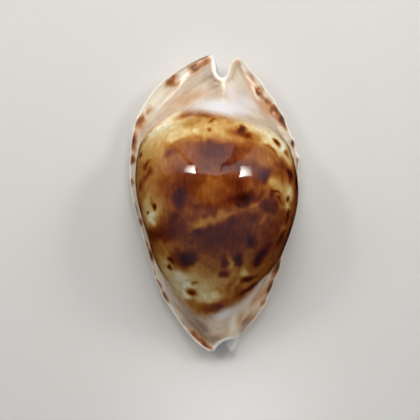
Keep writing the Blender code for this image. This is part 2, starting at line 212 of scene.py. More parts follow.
# The edge of the coloured part of the back, seen from above, as (across, along). On the flanks it runs
# outside the dome, where the crease takes over.
PIGMENT_EDGE = ((-16, 12.8), (-13.4, 14.4), (-10.4, 16.9), (-8.5, 17.9), (-6.1, 18.4), (-1.5, 18.2),
                (2.8, 17.0), (5.4, 16.3), (8.7, 15.2), (10.1, 14.8), (12.2, 14.0), (15.2, 11.5), (20, 6),
                (21, 0), (18, -8), (12, -14), (9.3, -16.1), (8.3, -17.5), (6.9, -18.6), (4.9, -20),
                (2.4, -21.2), (0.8, -22), (-1.5, -22.8), (-4.1, -21.9), (-5.9, -20.2), (-8, -17.9),
                (-8.7, -16.7), (-12, -14), (-17, -6), (-20, 2), (-19, 8))
PIGMENT_STEP = 0.25
# The pigment keeps this far from the creases. Distances from its border are kept up to this limit.
CREASE_BAND = 0.45
CALLUS_LIMIT = 5.0

# Markings of the back: (across, along, half length, half width, turn in degrees, tone, violet, strength).
# Tone runs from 0, nearly black, over brown and amber to 1, pale cream.
GROUND_TONE = 0.43
GROUND = (
    (-7.0, 15.3, 7.5, 2.3, 15, 0.87, 0, 0.9), (-11.3, 14.4, 4.4, 2.2, 48, 0.93, 0, 0.95),
    (-0.6, 16.2, 5.0, 1.4, 0, 0.62, 0, 0.9), (1.0, 14.4, 7.0, 1.5, -4, 0.76, 0, 0.9),
    (7.6, 15.4, 3.6, 1.2, -16, 0.92, 0, 0.9), (12.2, 13.6, 4.6, 2.0, -42, 0.93, 0, 0.95),
    (12.0, 11.4, 2.6, 2.0, -30, 0.92, 0, 0.9), (-11.9, 11.2, 3.2, 2.2, 50, 0.74, 0, 0.85),
    (-13.2, 3.0, 4.0, 6.2, 0, 0.58, 0, 0.85), (0.3, 10.5, 5.2, 2.0, 0, 0.22, 0.3, 0.85),
    (-6.4, 9.8, 3.4, 2.4, 0, 0.44, 0.15, 0.75), (3.2, 7.2, 8.0, 1.8, 0, 0.20, 0, 0.85),
    (-6.5, 3.6, 3.8, 2.4, 0, 0.19, 0, 0.85), (3.4, 3.4, 2.6, 1.6, 0, 0.17, 0, 0.8),
    (-0.6, 2.9, 3.6, 2.8, 0, 0.34, 0, 0.9), (10.0, 9.2, 3.4, 1.8, -20, 0.42, 0.2, 0.7),
    (13.2, 3.2, 2.2, 1.8, 0, 0.72, 0, 0.85), (-6.9, -1.2, 5.2, 2.0, 0, 0.40, 0, 0.8),
    (0.5, -6.5, 10.0, 4.6, 0, 0.27, 0.85, 0.85), (11.6, -7.4, 3.4, 5.5, 0, 0.31, 0.5, 0.85),
    (-9.5, -9.5, 3.0, 2.5, 0, 0.44, 0.1, 0.8), (1.6, -13.8, 8.2, 2.8, 0, 0.53, 0.1, 0.8),
    (-7.4, -15.6, 5.0, 3.2, -50, 0.94, 0, 0.95), (-2.0, -17.9, 5.0, 2.6, 5, 0.85, 0, 0.9),
    (5.6, -17.0, 3.6, 2.4, 20, 0.54, 0, 0.8), (-3.8, -20.4, 2.6, 1.6, -20, 0.74, 0, 0.8),
    (-7.0, -11.3, 2.3, 1.6, -40, 0.26, 0.4, 0.8),

)
PALE_MARKS = (
    (-12.0, 14.3, 1.8, 1.0, 45, 0.95, 0, 0.9), (-8.4, 13.8, 1.3, 0.8, 20, 0.86, 0, 0.8),
    (-5.8, 13.5, 1.4, 1.0, 0, 0.84, 0, 0.8), (-3.6, 14.0, 0.5, 0.4, 0, 0.88, 0, 0.9),
    (-3.3, 13.3, 0.4, 0.35, 0, 0.86, 0, 0.8), (-12.6, -1.9, 2.3, 1.9, 75, 0.88, 0, 0.9),
    (-12.6, -2.3, 1.0, 0.7, 60, 0.97, 0, 0.8), (-11.9, -3.3, 0.9, 0.6, -50, 0.97, 0, 0.9),
    (-0.8, 2.6, 2.2, 1.8, 0, 0.45, 0, 0.9), (12.2, 3.8, 1.2, 0.7, -10, 0.76, 0, 0.8),
    (15.0, 1.9, 1.2, 0.9, 90, 0.92, 0, 0.9), (14.7, -0.3, 0.9, 0.7, 90, 0.86, 0, 0.9),
    (13.5, -0.5, 0.8, 0.6, 0, 0.55, 0, 0.8), (7.5, -0.1, 0.8, 0.4, 10, 0.60, 0, 0.8),
    (9.9, -2.7, 1.3, 0.4, 50, 0.50, 0, 0.8), (-1.0, -3.0, 4.4, 0.85, 14, 0.70, 0, 0.85),
    (-10.5, -11.1, 1.3, 0.9, 60, 0.76, 0, 0.9), (-9.7, -14.1, 1.4, 0.9, -60, 0.84, 0, 0.9),
    (-7.5, -14.7, 1.3, 0.9, -40, 0.93, 0, 0.9), (-5.4, -15.8, 1.3, 0.38, -38, 1.0, 0, 1.0),
    (-5.9, -16.6, 0.9, 0.32, 60, 1.0, 0, 1.0), (-6.3, -17.4, 0.9, 0.5, -40, 0.96, 0, 0.9),
    (-5.4, -18.9, 1.1, 0.7, -20, 0.95, 0, 0.9), (-1.0, -18.4, 1.9, 1.1, 0, 0.88, 0, 0.9),
    (3.1, -12.5, 1.3, 0.5, 80, 0.70, 0, 0.9), (6.2, -13.8, 0.85, 0.8, 0, 0.84, 0, 0.9),
    (5.8, -16.7, 0.9, 0.4, 40, 0.62, 0, 0.8), (3.6, -16.5, 1.2, 0.35, 60, 0.64, 0, 0.8),
    (1.4, -15.6, 1.2, 0.4, -50, 0.62, 0, 0.7), (-4.7, -20.7, 1.1, 0.8, 0, 0.50, 0, 0.8),
    (-1.7, -22.2, 1.8, 0.6, 10, 0.55, 0, 0.9), (13.7, -5.1, 1.5, 0.4, 65, 0.60, 0, 0.8),
    (13.3, 12.7, 2.3, 0.9, -45, 0.95, 0, 0.9), (14.4, 11.8, 1.2, 0.9, -50, 1.0, 0, 0.9),
    (14.6, 9.4, 1.1, 0.7, 90, 0.84, 0, 0.8), (-12.0, -10.2, 1.6, 0.8, 70, 0.62, 0, 0.8),
    (10.3, 8.0, 1.3, 0.8, -20, 0.54, 0, 0.8), (-13.6, 13.6, 1.4, 0.8, 55, 1.0, 0, 0.8),
    (-14.0, 0.2, 1.2, 0.7, 85, 0.78, 0, 0.8), (-3.8, 11.8, 1.3, 0.8, 0, 0.56, 0, 0.8),
    (-8.0, 17.2, 1.8, 0.8, 25, 0.98, 0, 0.8),

)
DARK_MARKS = (
    (-14.6, 10.0, 0.5, 0.4, 90, 0.2, 0, 0.8), (-13.7, 7.6, 0.75, 0.45, 80, 0.20, 0.2, 0.9),
    (-13.0, 5.4, 1.0, 0.8, 20, 0.28, 0.2, 0.85), (-15.0, 4.1, 0.95, 0.6, 90, 0.26, 0.2, 0.9),
    (-12.4, -0.2, 0.7, 0.4, -65, 0.15, 0, 1.0), (-13.4, -1.5, 0.28, 0.25, 0, 0.2, 0, 0.8),
    (-7.9, 9.9, 1.2, 0.9, 0, 0.28, 0.5, 0.8), (-7.2, 1.0, 2.1, 1.25, 85, 0.09, 1.0, 1.0),
    (-9.4, 2.3, 1.0, 0.7, 50, 0.34, 0, 0.7), (-0.5, 14.4, 0.35, 0.3, 0, 0.25, 0, 0.9),
    (-0.2, 16.0, 0.55, 0.4, 0, 0.36, 0, 0.8), (-0.7, 10.5, 2.9, 1.4, 5, 0.15, 0.4, 0.9),
    (4.0, 14.1, 1.9, 1.1, 0, 0.38, 0.1, 0.8), (5.3, 14.6, 0.95, 0.8, 0, 0.15, 0.8, 0.9),
    (-3.2, 17.3, 3.4, 0.75, -3, 0.30, 0.3, 0.75), (-4.8, 15.6, 1.6, 0.7, 10, 0.56, 0, 0.6),
    (6.8, 13.2, 1.6, 0.8, -20, 0.2, 0, 0.9), (12.8, 12.5, 0.85, 0.5, -55, 0.12, 0, 1.0),
    (14.6, 10.5, 0.5, 0.45, 0, 0.28, 0.5, 0.8), (11.1, 10.0, 1.7, 0.28, -40, 0.28, 0.2, 0.8),
    (9.5, 4.7, 1.6, 1.2, 60, 0.13, 0.9, 1.0), (12.9, 7.9, 1.1, 0.8, 0, 0.28, 0.7, 0.7),
    (15.5, 5.9, 1.7, 0.6, -60, 0.10, 0.2, 1.0), (16.5, 4.5, 2.4, 0.25, 90, 0.14, 0, 0.9),
    (5.2, 0.9, 2.4, 1.2, 12, 0.13, 0.1, 0.95), (5.7, 1.3, 1.4, 0.9, 0, 0.07, 0, 1.0),
    (8.7, 1.1, 1.0, 0.4, 45, 0.22, 0, 0.9), (11.6, 1.2, 0.9, 0.45, 80, 0.18, 0, 0.9),
    (12.7, 1.9, 0.9, 0.3, 10, 0.2, 0, 0.9), (13.0, 0.7, 0.5, 0.4, 0, 0.2, 0, 0.9),
    (15.0, 0.9, 0.5, 0.25, 80, 0.08, 0.3, 1.0), (10.4, -0.5, 2.0, 0.8, -5, 0.17, 0.8, 0.9),
    (5.1, -0.7, 0.45, 0.4, 0, 0.08, 0, 0.9), (-7.5, -3.0, 0.85, 0.5, 65, 0.2, 0.2, 0.9),
    (-7.9, -5.0, 2.0, 1.4, 20, 0.20, 0.6, 0.9), (-11.4, -6.3, 2.3, 1.0, -12, 0.21, 0.1, 0.9),
    (-3.5, -5.5, 0.95, 0.65, 90, 0.10, 0.8, 1.0), (4.3, -3.4, 1.1, 0.9, 0, 0.17, 0.8, 0.9),
    (7.5, -3.1, 1.0, 0.9, 0, 0.18, 0.8, 0.9), (10.8, -1.1, 1.6, 0.6, -10, 0.18, 0.5, 0.9),
    (1.5, -6.6, 3.8, 2.6, 5, 0.18, 0.65, 0.9), (7.5, -6.9, 1.4, 0.85, 90, 0.05, 1.0, 1.0),
    (-5.6, -10.6, 1.6, 1.35, 15, 0.07, 1.0, 1.0), (-8.7, -10.8, 0.65, 0.5, 0, 0.14, 0, 0.9),
    (-9.6, -12.9, 0.55, 0.3, -70, 0.14, 0, 0.9), (9.5, -10.2, 1.7, 0.75, 50, 0.06, 1.0, 1.0),
    (5.0, -11.7, 1.5, 0.95, 80, 0.06, 0.9, 1.0), (1.8, -11.7, 1.0, 0.8, 80, 0.12, 0.7, 0.9),
    (1.6, -13.8, 1.0, 0.85, 0, 0.15, 0.7, 0.9), (6.8, -15.3, 1.8, 0.5, 22, 0.12, 0.2, 0.95),
    (8.2, -16.2, 0.8, 0.5, 40, 0.16, 0.1, 0.9), (5.2, -18.3, 1.0, 0.6, 20, 0.16, 0.1, 0.9),
    (14.5, -2.9, 1.3, 0.35, 75, 0.12, 0, 0.9), (12.9, -7.7, 1.9, 0.4, 68, 0.12, 0, 0.9),
    (-4.3, -17.7, 1.1, 0.5, -30, 0.22, 0, 1.0), (-4.0, -16.3, 0.7, 0.3, -10, 0.34, 0, 0.8),
    (-0.8, -20.9, 2.8, 0.8, 8, 0.33, 0.2, 0.75), (1.2, -20.4, 1.0, 0.6, 10, 0.22, 0.6, 0.8),
    (0.4, -20.3, 2.6, 0.8, 6, 0.28, 0.6, 0.75), (2.6, -16.2, 1.5, 0.55, 60, 0.36, 0.3, 0.6),
    (4.6, -17.4, 1.1, 0.6, 50, 0.30, 0.3, 0.6), (0.9, -16.9, 0.9, 0.5, -50, 0.44, 0.1, 0.5),
    (-4.4, 2.6, 2.4, 0.5, 80, 0.26, 0, 0.8), (-1.2, -0.6, 3.4, 0.5, -4, 0.24, 0, 0.8),
    (7.0, -17.3, 2.2, 0.6, 28, 0.18, 0.5, 0.85), (3.6, -19.0, 2.0, 1.0, 20, 0.46, 0.2, 0.7),

)
# Each layer with the softness of its edges.
DOME_LAYERS = ((GROUND, 0.75), (PALE_MARKS, 0.75), (DARK_MARKS, 0.8))
# How far the edges of the markings wander, as (size of the waves, reach).
MARK_WANDER = ((4.0, 0.8), (1.5, 0.42), (0.6, 0.1))
# Drips: waves this long across the shell, along it and upwards shift the markings along it by up to a reach.
DRIPS = ((0.9, 4.0, 4.0), 0.7)
SPOT_SOFTNESS = 0.8
# On steep ground a mark is stretched down the slope no more than this share of the upright allows.
STEEPEST = 0.5
# A mark reaches into the shell by a fixed depth and by this many times its size, and fades at its bottom.
MARK_DEPTH = (3, 2)
DEPTH_FADE = (1.2, 0.8)
# Ground counts as facing up where its normal's upright share is above this.
UPWARD = 0.05
# Blotches of the steep flanks, which no mark seen from above reaches: (size, seed, how much tone they take).
FLANK_BLOTCHES = ((3.4, 95, 0.24), (1.7, 97, 0.14))
FLANK_VIOLET = 0.5
# They come up between these upright shares of the normal, on noise that is turned by these angles, has a
# second layer (its size and strength as shares of the first's), and shows between these values.
FLANK_SLOPE = (0.35, 0.1)
FLANK_TURN = (0.6, 0.5, 0.8)
FLANK_ECHO = (0.45, 0.6)
BLOTCH_EDGE = (0.05, 0.6)
# On ground between these upright shares, the pigment's border leans inward by a share of the way down from
# a height, and waves with a size and a reach.
BORDER_SLOPE = (0.4, 0.0)
BORDER_LEAN = (10.5, 0.7)
BORDER_WAVES = (3.0, 1.1)
# Seeds of the noise. A wandering takes three for each size of its waves, this far apart.
SEEDS = {"back": 0, "margins": 50, "drips": 90, "border": 97}
SEED_STEP = 10

# Spots of the margins: (across, along, half length along the margin, half width, strength).
MARGIN_SPOTS = (
    (-1.8, 28.4, 1.2, 0.8, 0.7), (-3.8, 27.5, 1.6, 0.9, 0.95), (-8.4, 24.8, 1.7, 0.9, 0.75),
    (-9.4, 23.9, 1.1, 0.7, 0.4), (-13.0, 19.0, 1.0, 0.6, 0.6), (-15.0, 16.6, 1.7, 0.9, 0.7),
    (-16.3, 12.5, 2.0, 0.9, 0.95), (-16.7, 8.6, 1.1, 0.7, 0.8), (-16.7, 4.2, 0.9, 0.6, 0.75),
    (-16.2, -1.5, 1.6, 0.7, 0.85), (-15.2, -3.6, 0.9, 0.6, 0.7), (-13.9, -8.6, 1.3, 0.55, 0.6),
    (-13.1, -10.8, 1.6, 0.7, 0.9), (-12.5, -13.7, 1.3, 0.5, 0.75), (-11.3, -16.4, 1.6, 0.5, 0.85),
    (-9.9, -19.0, 1.5, 0.6, 0.75), (-7.2, -22.6, 1.4, 0.5, 0.5), (-3.6, -26.7, 2.6, 0.9, 0.85),
    (-1.7, -28.5, 1.4, 0.8, 0.8), (5.0, 28.5, 0.8, 0.5, 0.45), (9.2, 22.9, 1.3, 0.8, 0.9),
    (10.9, 20.6, 1.2, 0.8, 0.8), (12.4, 18.5, 1.9, 1.0, 0.85), (13.7, 17.1, 1.8, 1.0, 1.0),
    (16.1, 11.8, 0.9, 0.6, 1.0), (17.2, 7.9, 1.2, 0.7, 0.95), (17.0, 3.2, 1.2, 0.6, 0.7),
    (15.8, -3.0, 1.4, 0.6, 0.7), (14.4, -7.8, 1.2, 0.5, 0.6), (12.9, -12.6, 2.3, 1.0, 0.85),
    (11.6, -16.9, 1.8, 0.8, 0.95), (9.9, -20.0, 1.1, 0.5, 0.5), (7.4, -23.6, 1.1, 0.5, 0.6),
    (5.8, -25.6, 1.0, 0.45, 0.9),

)

# Tints of the margins and ends in the order in which they go on, each a list of (across, along, half
# length, half width, turn, strength).
TINTS = {
    "orange": (
        (-6.6, 20.6, 3.0, 1.2, 25, 0.5), (9.3, 20.2, 2.0, 0.8, -44, 0.95), (7.9, 25.0, 2.2, 0.55, -56, 0.95),
        (6.6, 26.6, 1.4, 0.4, -60, 0.6), (10.9, 18.9, 1.8, 0.7, -48, 0.7), (4.9, 28.4, 0.9, 0.6, -50, 0.6),
        (-1.7, 28.4, 1.6, 0.8, 30, 0.95), (-13.0, 18.9, 1.2, 0.8, 60, 0.7),
        (-7.6, -21.8, 2.4, 0.7, -50, 0.6), (9.9, -18.9, 2.4, 1.1, 50, 0.95), (5.1, -23.5, 1.8, 0.8, 72, 1.0),
        (1.6, -26.9, 2.6, 0.9, 8, 0.5), (0.4, 24.2, 0.8, 1.2, 0, 0.5), (-3.8, 21.6, 2.2, 0.9, 15, 0.4),
        (12.2, -14.6, 2.6, 0.6, 65, 0.6), (-8.6, 22.9, 1.6, 0.8, 40, 0.35), (-1.2, -22.9, 1.6, 0.7, 0, 0.4),
        (-14.6, 16.4, 2.2, 1.0, 62, 0.6), (7.4, 23.4, 3.0, 0.6, -62, 0.7), (-8.2, 24.4, 1.9, 1.1, 35, 0.5),
        (7.7, -22.4, 3.0, 0.9, 54, 0.95),
    ),
    "brown": (
        (9.1, 22.9, 1.0, 0.5, -50, 0.9), (10.8, 20.7, 0.9, 0.5, -50, 0.6), (12.3, 18.3, 1.9, 0.7, -52, 0.85),
        (11.4, 20.0, 1.0, 0.4, -52, 0.6), (7.2, 26.0, 1.4, 0.35, -62, 0.5), (-3.2, 27.6, 1.2, 0.5, 32, 0.5),
        (-8.6, 24.5, 1.4, 0.6, 38, 0.5), (-3.0, -26.9, 2.4, 0.5, -46, 0.8), (6.7, -24.3, 2.4, 0.7, 54, 0.95),
        (-5.6, -24.8, 1.6, 0.35, -48, 0.45), (15.6, 11.2, 1.2, 0.5, -62, 0.5),
        (-0.4, 25.2, 0.6, 1.0, 10, 0.3), (-4.4, -22.4, 2.8, 1.2, -42, 0.3), (5.5, 27.4, 1.2, 0.6, -62, 0.5),
    ),
    # Partly darker callus and partly painted shade, in the hollow behind the posterior notch,
    # along the flanges and on the front end, which faces away from the lights.
    "shade": (
        (0.1, 23.9, 1.2, 1.9, 4, 0.6), (-1.4, 25.4, 1.2, 2.0, 10, 0.5), (4.8, -23.2, 1.3, 0.45, 80, 0.2),
        (6.4, -24.1, 1.2, 0.4, 60, 0.4), (9.4, 21.2, 0.6, 0.5, -50, 0.6), (-4.4, 26.2, 1.8, 0.6, 30, 0.35),
        (-8.4, 23.4, 2.0, 0.6, 35, 0.3), (-5.6, -25.0, 2.6, 0.35, -47, 0.3),
        (-4.4, -24.0, 2.7, 1.2, -44, 0.6), (-2.6, -25.2, 1.8, 1.4, -30, 0.9), (0.2, -27.2, 2.2, 0.9, 0, 0.9),
        (-9.0, -19.6, 3.6, 0.6, -52, 0.4), (-12.6, -12.0, 3.4, 0.4, 68, 0.35),
    ),
    # The cool tint on the tab beside the anterior notch, at full strength, is partly its own bluish white
    # and partly painted light, for the glow of the thin tab in the notch's shadow.
    "cool": (
        (0.0, 19.5, 3.6, 1.1, -6, 1.0), (3.6, 19.0, 2.8, 1.2, -10, 0.9), (6.0, 20.0, 2.6, 1.8, -25, 0.6),
        (-9.4, -17.7, 2.0, 0.8, -52, 0.3), (2.4, -22.2, 2.6, 0.9, 18, 0.7), (8.1, -18.6, 2.6, 0.8, 50, 0.5),
        (3.6, -30.0, 1.6, 2.2, 0, 1.0), (3.2, 22.4, 0.7, 1.6, 0, 0.5), (-14.6, 8.8, 0.6, 3.0, 0, 0.3),
        (-11.8, -9.8, 0.6, 3.4, 20, 0.4),
    ),
    "pale": (
        (-12.4, 20.6, 3.8, 1.3, 48, 0.9), (-6.4, 26.3, 2.4, 0.9, 32, 0.85), (-14.6, 17.6, 1.6, 1.2, 55, 0.6),
        (2.0, 24.0, 0.4, 1.8, 0, 0.9), (9.9, 24.6, 3.4, 0.6, -57, 0.9), (7.0, 27.6, 2.0, 0.6, -55, 0.9),
        (8.2, 22.6, 1.4, 0.35, -60, 0.8), (-9.4, -21.4, 2.6, 0.5, -50, 0.5), (9.6, -15.4, 2.6, 0.8, 60, 0.5),
        (16.6, 10.0, 0.8, 0.6, 0, 0.9), (14.9, 14.9, 1.6, 0.7, -55, 0.9), (14.0, 15.4, 1.0, 0.8, -40, 0.7),
        (8.9, -20.6, 2.0, 0.6, 50, 0.5), (6.0, -22.0, 1.8, 0.8, 60, 0.3), (4.2, -25.6, 1.4, 0.6, 40, 0.4),
        (3.9, -24.0, 1.8, 0.8, 80, 0.7), (-15.9, 6.0, 0.8, 3.0, 0, 0.5), (5.4, 24.0, 1.2, 1.4, 0, 0.35),
        (-16.4, 10.8, 0.8, 1.2, 0, 0.6), (-9.8, 22.6, 2.0, 0.7, 44, 0.4),
    ),
}
# Lengths that a division is kept above: a normal's, and the level share of a normal.
SHORTEST_NORMAL = 1e-9
LEAST_LEVEL = 1e-6
# The noise repeats after this many waves.
NOISE_CELLS = 48


def curve(knots):
    """A natural cubic spline through (position, value) knots, as a function of the position."""
    x, y = np.array(knots, float).T
    h = np.diff(x)
    system = np.eye(len(x))
    right = np.zeros(len(x))
    for i in range(1, len(x) - 1):
        system[i, i - 1:i + 2] = h[i - 1], 2 * (h[i - 1] + h[i]), h[i]
        right[i] = 6 * ((y[i + 1] - y[i]) / h[i] - (y[i] - y[i - 1]) / h[i - 1])
    bend = np.linalg.solve(system, right)

    def value(at):
        i = np.clip(np.searchsorted(x, at) - 1, 0, len(h) - 1)
        a, b = x[i + 1] - at, at - x[i]
        cubic = (bend[i] * a ** 3 + bend[i + 1] * b ** 3) / (6 * h[i])
        return cubic + (y[i] / h[i] - bend[i] * h[i] / 6) * a + (y[i + 1] / h[i] - bend[i + 1] * h[i] / 6) * b

    return value


RAILS = {name: curve(knots) for name, knots in {
    "left edge": LEFT_EDGE, "right edge": RIGHT_EDGE, "dome left": DOME_LEFT, "dome right": DOME_RIGHT,
    "ridge": RIDGE, "crest": CREST, "widest": WIDEST, "crease": CREASE, "left edge height": LEFT_EDGE_HEIGHT,
    "right edge height": RIGHT_EDGE_HEIGHT, "base": BASE, "left lip": LEFT_LIP, "right lip": RIGHT_LIP,
    "hollow left": HOLLOW_LEFT, "hollow right": HOLLOW_RIGHT, "floor": FLOOR, "roof": ROOF, "whorl": WHORL,
}.items()}


def swelling(y, swellings):
    """How far the low swellings of a margin stand out at one distance along the shell."""
    return sum(out * math.exp(-((y - middle) / half) ** 2) for middle, out, half in swellings)


def smoothstep(low, high, at):
    """0 up to the low value, 1 from the high one on, and a smooth rise between them."""
    t = np.clip((at - low) / (high - low), 0, 1)
    return t * t * (3 - 2 * t)


def end_slope(y):
    """0 where the dome is round and 1 towards the ends."""
    low, high = POSTERIOR_SLOPE if y > 0 else ANTERIOR_SLOPE
    return float(smoothstep(low, high, abs(y)))


def tooth(y, span):
    """1 on a tooth's ridge and 0 between teeth, fading out at the ends of the toothed span."""
    ridge = 0.5 + 0.5 * math.cos(2 * math.pi * y / TOOTH_PITCH)
    first, last = span
    begun = smoothstep(first - TOOTH_FADE, first + TOOTH_FADE, y)
    ended = smoothstep(last - TOOTH_FADE, last + TOOTH_FADE, y)
    return ridge * begun * (1 - ended)


def even(points, step=None, steps=None):
    """Points at an even spacing along a polyline, its two ends among them."""
    points = np.asarray(points, float)
    along = np.concatenate([[0], np.cumsum(np.linalg.norm(np.diff(points, axis=0), axis=1))])
    if steps is None:
        steps = max(1, int(round(along[-1] / step)))
    at = np.linspace(0, along[-1], steps + 1)
    return np.column_stack([np.interp(at, along, points[:, k]) for k in (0, 1)])


def base_stretch(edge, lip_x, low, ridge):
    """The underside from a margin to its lip: it falls to the flat and curls up round the lip."""
    t = np.linspace(0, 1, BASE_POINTS)
    x = edge[0] + (lip_x - edge[0]) * t
    fall = np.clip(1 - t / FLAT_SHARE, 0, 1) ** BASE_POWER
    z = np.maximum(low + (edge[1] - EDGE_THICKNESS - low) * fall, 0)
    inward = np.clip(1 - np.abs(lip_x - x) / LIP_RADIUS, 0, 1)
    z += LIP_RADIUS * (1 - np.sqrt(1 - inward ** 2)) * (1 - TOOTH_FALL * ridge)
    return np.column_stack([x, z])


def dome_stretch(rails, slope):
    """The dome from one crease to the other: an ellipse that goes on below its widest level, or near the
    ends a ridge with a broad slope on each side."""
    left, right = rails["dome left"], rails["dome right"]
    widest, crease = rails["widest"], rails["crease"]
    height = rails["crest"] - widest
    least, greatest = UNDERCUT_LIMITS
    under = math.asin(min(greatest, max(least, (widest - crease) / height)))
    angle = np.linspace(math.pi + under, -under, DOME_POINTS)
    across = (left + right) / 2 + (right - left) / 2 * np.cos(angle)
    ellipse = np.column_stack([across, widest + height * np.sin(angle)])
    x = left + (right - left) * np.linspace(0, 1, DOME_POINTS)
    rise = np.minimum((x - left) / (rails["ridge"] - left), (right - x) / (right - rails["ridge"]))
    bell = 0.5 - 0.5 * np.cos(math.pi * np.clip(rise, 0, 1))
    z = crease + (rails["crest"] - crease) * bell ** SLOPE_POWER
    return ellipse * (1 - slope) + np.column_stack([x, z]) * slope


def flange_stretch(start, end):
    """The top of the flange between a margin and a crease, a shallow gutter."""
    t = np.linspace(0, 1, FLANGE_POINTS)
    z = start[1] + (end[1] - start[1]) * t - GUTTER * 4 * t * (1 - t)
    return np.column_stack([start[0] + (end[0] - start[0]) * t, z])


def arch(right, left, foot, top):
    """Half an ellipse from a foot on the right, over the top, to a foot on the left."""
    angle = np.linspace(0, math.pi, ARCH_POINTS)
    across = (left + right) / 2 + (right - left) / 2 * np.cos(angle)
    return np.column_stack([across, foot + (top - foot) * np.sin(angle)])


def stretches(y):
    """The stretches of the closed outline of the shell at one distance along it, as (x, z) rows."""
    rails = {name: float(value(y)) for name, value in RAILS.items()}
    left_tooth = tooth(y, OUTER_TEETH)
    right_tooth = tooth(y, INNER_TEETH)
    left_lip = rails["left lip"] + TOOTH_REACH * (left_tooth - 0.5)
    right_lip = rails["right lip"] - TOOTH_REACH * INNER_TOOTH_SHARE * right_tooth
    left_edge = (rails["left edge"] - swelling(y, LEFT_SWELLINGS), rails["left edge height"])
    right_edge = (rails["right edge"] + swelling(y, RIGHT_SWELLINGS), rails["right edge height"])
    floor = rails["floor"]
    left_base = base_stretch(left_edge, left_lip, rails["base"], left_tooth)
    right_base = base_stretch(right_edge, right_lip, rails["base"], right_tooth)
    dome = dome_stretch(rails, end_slope(y))
    hollow_left = min(rails["hollow left"], left_lip - CANAL_LEDGE)
    hollow_right = max(rails["hollow right"], right_lip + CANAL_LEDGE)
    whorl_foot = right_lip + WHORL_SHARE * (hollow_right - right_lip)
    whorl = arch(whorl_foot, right_lip, floor, floor + max(rails["whorl"], 0))[::-1]
    roof = arch(hollow_right, hollow_left, floor, rails["roof"])
    return {
        "left base": left_base[::-1],
        "left edge": (left_base[0], left_edge),
        "left flange": flange_stretch(left_edge, dome[0]),
        "dome": dome,
        "right flange": flange_stretch(right_edge, dome[-1])[::-1],
        "right edge": (right_edge, right_base[0]),
        "right base": right_base,
        "right lip": (right_base[-1], whorl[0]),
        "whorl": whorl,
        "right floor": (whorl[-1], roof[0]),
        "roof": roof,
        "left floor": (roof[-1], (left_lip, floor)),
        "left lip": ((left_lip, floor), left_base[-1]),
    }


def rounded(points, reach):
    """The closed outline with its corners rounded by a moving average along it."""
    size = max(1, int(ROUNDING_TAIL * reach / TRACE_STEP))
    weights = np.exp(-0.5 * (np.arange(-size, size + 1) * TRACE_STEP / reach) ** 2)
    weights /= weights.sum()
    padded = np.concatenate([points[-size:], points, points[:size]])
    return np.column_stack([np.convolve(padded[:, k], weights, "valid") for k in (0, 1)])


def section(y):
    """The closed outline at one distance along the shell, with the same steps at every distance."""
    traced = {name: even(points, step=TRACE_STEP) for name, points in stretches(y).items()}
    outline = np.concatenate([points[:-1] for points in traced.values()])
    soft = rounded(outline, END_ROUNDING)
    crisp = rounded(outline, OUTLINE_ROUNDING)
    share = np.concatenate([np.full(len(points) - 1, end_slope(y) if name == "dome" else 0.0)
                            for name, points in traced.items()])
    share = rounded(np.column_stack([share, share]), BLEND_ROUNDING)[:, :1]
    outline = crisp * (1 - share) + soft * share
    result = []
    start = 0
    for name, points in traced.items():
        end = start + len(points) - 1
        stretch = np.concatenate([outline[start:end], outline[end % len(outline)][None]])
        result.append(even(stretch, steps=STEPS[name])[:-1])
        start = end
    return np.concatenate(result)


def span_of(name):
    """The first column of a stretch in the grid, and the one after its last."""
    names = list(STEPS)
    start = sum(STEPS[n] for n in names[:names.index(name)])
    return start, start + STEPS[name]


def grown_grid(spacing):
    """The skin as a grid of points in millimetres: one row a section, one column a point of the outline."""
    places = np.linspace(-HALF_LENGTH, HALF_LENGTH, int(round(2 * HALF_LENGTH / spacing)) + 1)
    flat = np.array([section(y) for y in places])
    drawn_back = smoothstep(*SHORT_ALONG, places)[:, None]
    short = SHORT_PRONG * drawn_back * smoothstep(*SHORT_ACROSS, flat[:, :, 0])
    return np.dstack([flat[:, :, 0], places[:, None] - short, flat[:, :, 1]])


def grid_normals(grid):
    """The outward normals of a grid of points."""
    across = np.roll(grid, -1, axis=1) - np.roll(grid, 1, axis=1)
    normal = np.cross(across, np.gradient(grid, axis=0))
    return normal / np.maximum(np.linalg.norm(normal, axis=2, keepdims=True), SHORTEST_NORMAL)


def nearest(points, targets):
    """Distance from each point to the nearest target, and the index of that target."""
    tree = KDTree(len(targets))
    for i, target in enumerate(targets):
        tree.insert(target, i)
    tree.balance()
    found = [tree.find(point)[1:] for point in points]
    return np.array([f[1] for f in found]), np.array([f[0] for f in found])


def spline(points, step):
    """A smooth curve through the points of an open plan outline, as points at an even step."""
    points = np.array(points, float)
    along = np.concatenate([[0], np.cumsum(np.linalg.norm(np.diff(points, axis=0), axis=1))])
    at = np.linspace(0, along[-1], int(round(along[-1] / step)) + 1)
    return np.column_stack([curve(np.column_stack([along, points[:, k]]))(at) for k in (0, 1)])


def plan_distance(points, line):
    """Distance seen from above from each point to a line of plan points."""
    flat = np.column_stack([points[:, :2], np.zeros(len(points))])
    return nearest(flat, np.column_stack([line, np.zeros(len(line))]))[0]


def within(points, loop):
    """True for the points that lie inside a closed plan outline."""
    inside = np.zeros(len(points), bool)
    x, y = points[:, 0], points[:, 1]
    for (ax, ay), (bx, by) in zip(loop, np.roll(loop, -1, axis=0)):
        if ay != by:
            crosses = (ay > y) != (by > y)
            inside ^= crosses & (x < (bx - ax) * (y - ay) / (by - ay) + ax)
    return inside


def soft_noise(points, size, seed):
    """Smooth noise from -1 to 1 in space, with waves of about the given size."""
    lattice = np.random.default_rng(seed).uniform(-1, 1, (NOISE_CELLS,) * 3)
    at = points / size
    cell = np.floor(at).astype(int)
    part = at - cell
    part = part * part * (3 - 2 * part)
    total = np.zeros(len(points))
    for corner in itertools.product((0, 1), repeat=3):
        weight = np.prod(np.where(corner, part, 1 - part), axis=1)
        index = (cell + corner) % NOISE_CELLS
        total += weight * lattice[index[:, 0], index[:, 1], index[:, 2]]
    return total


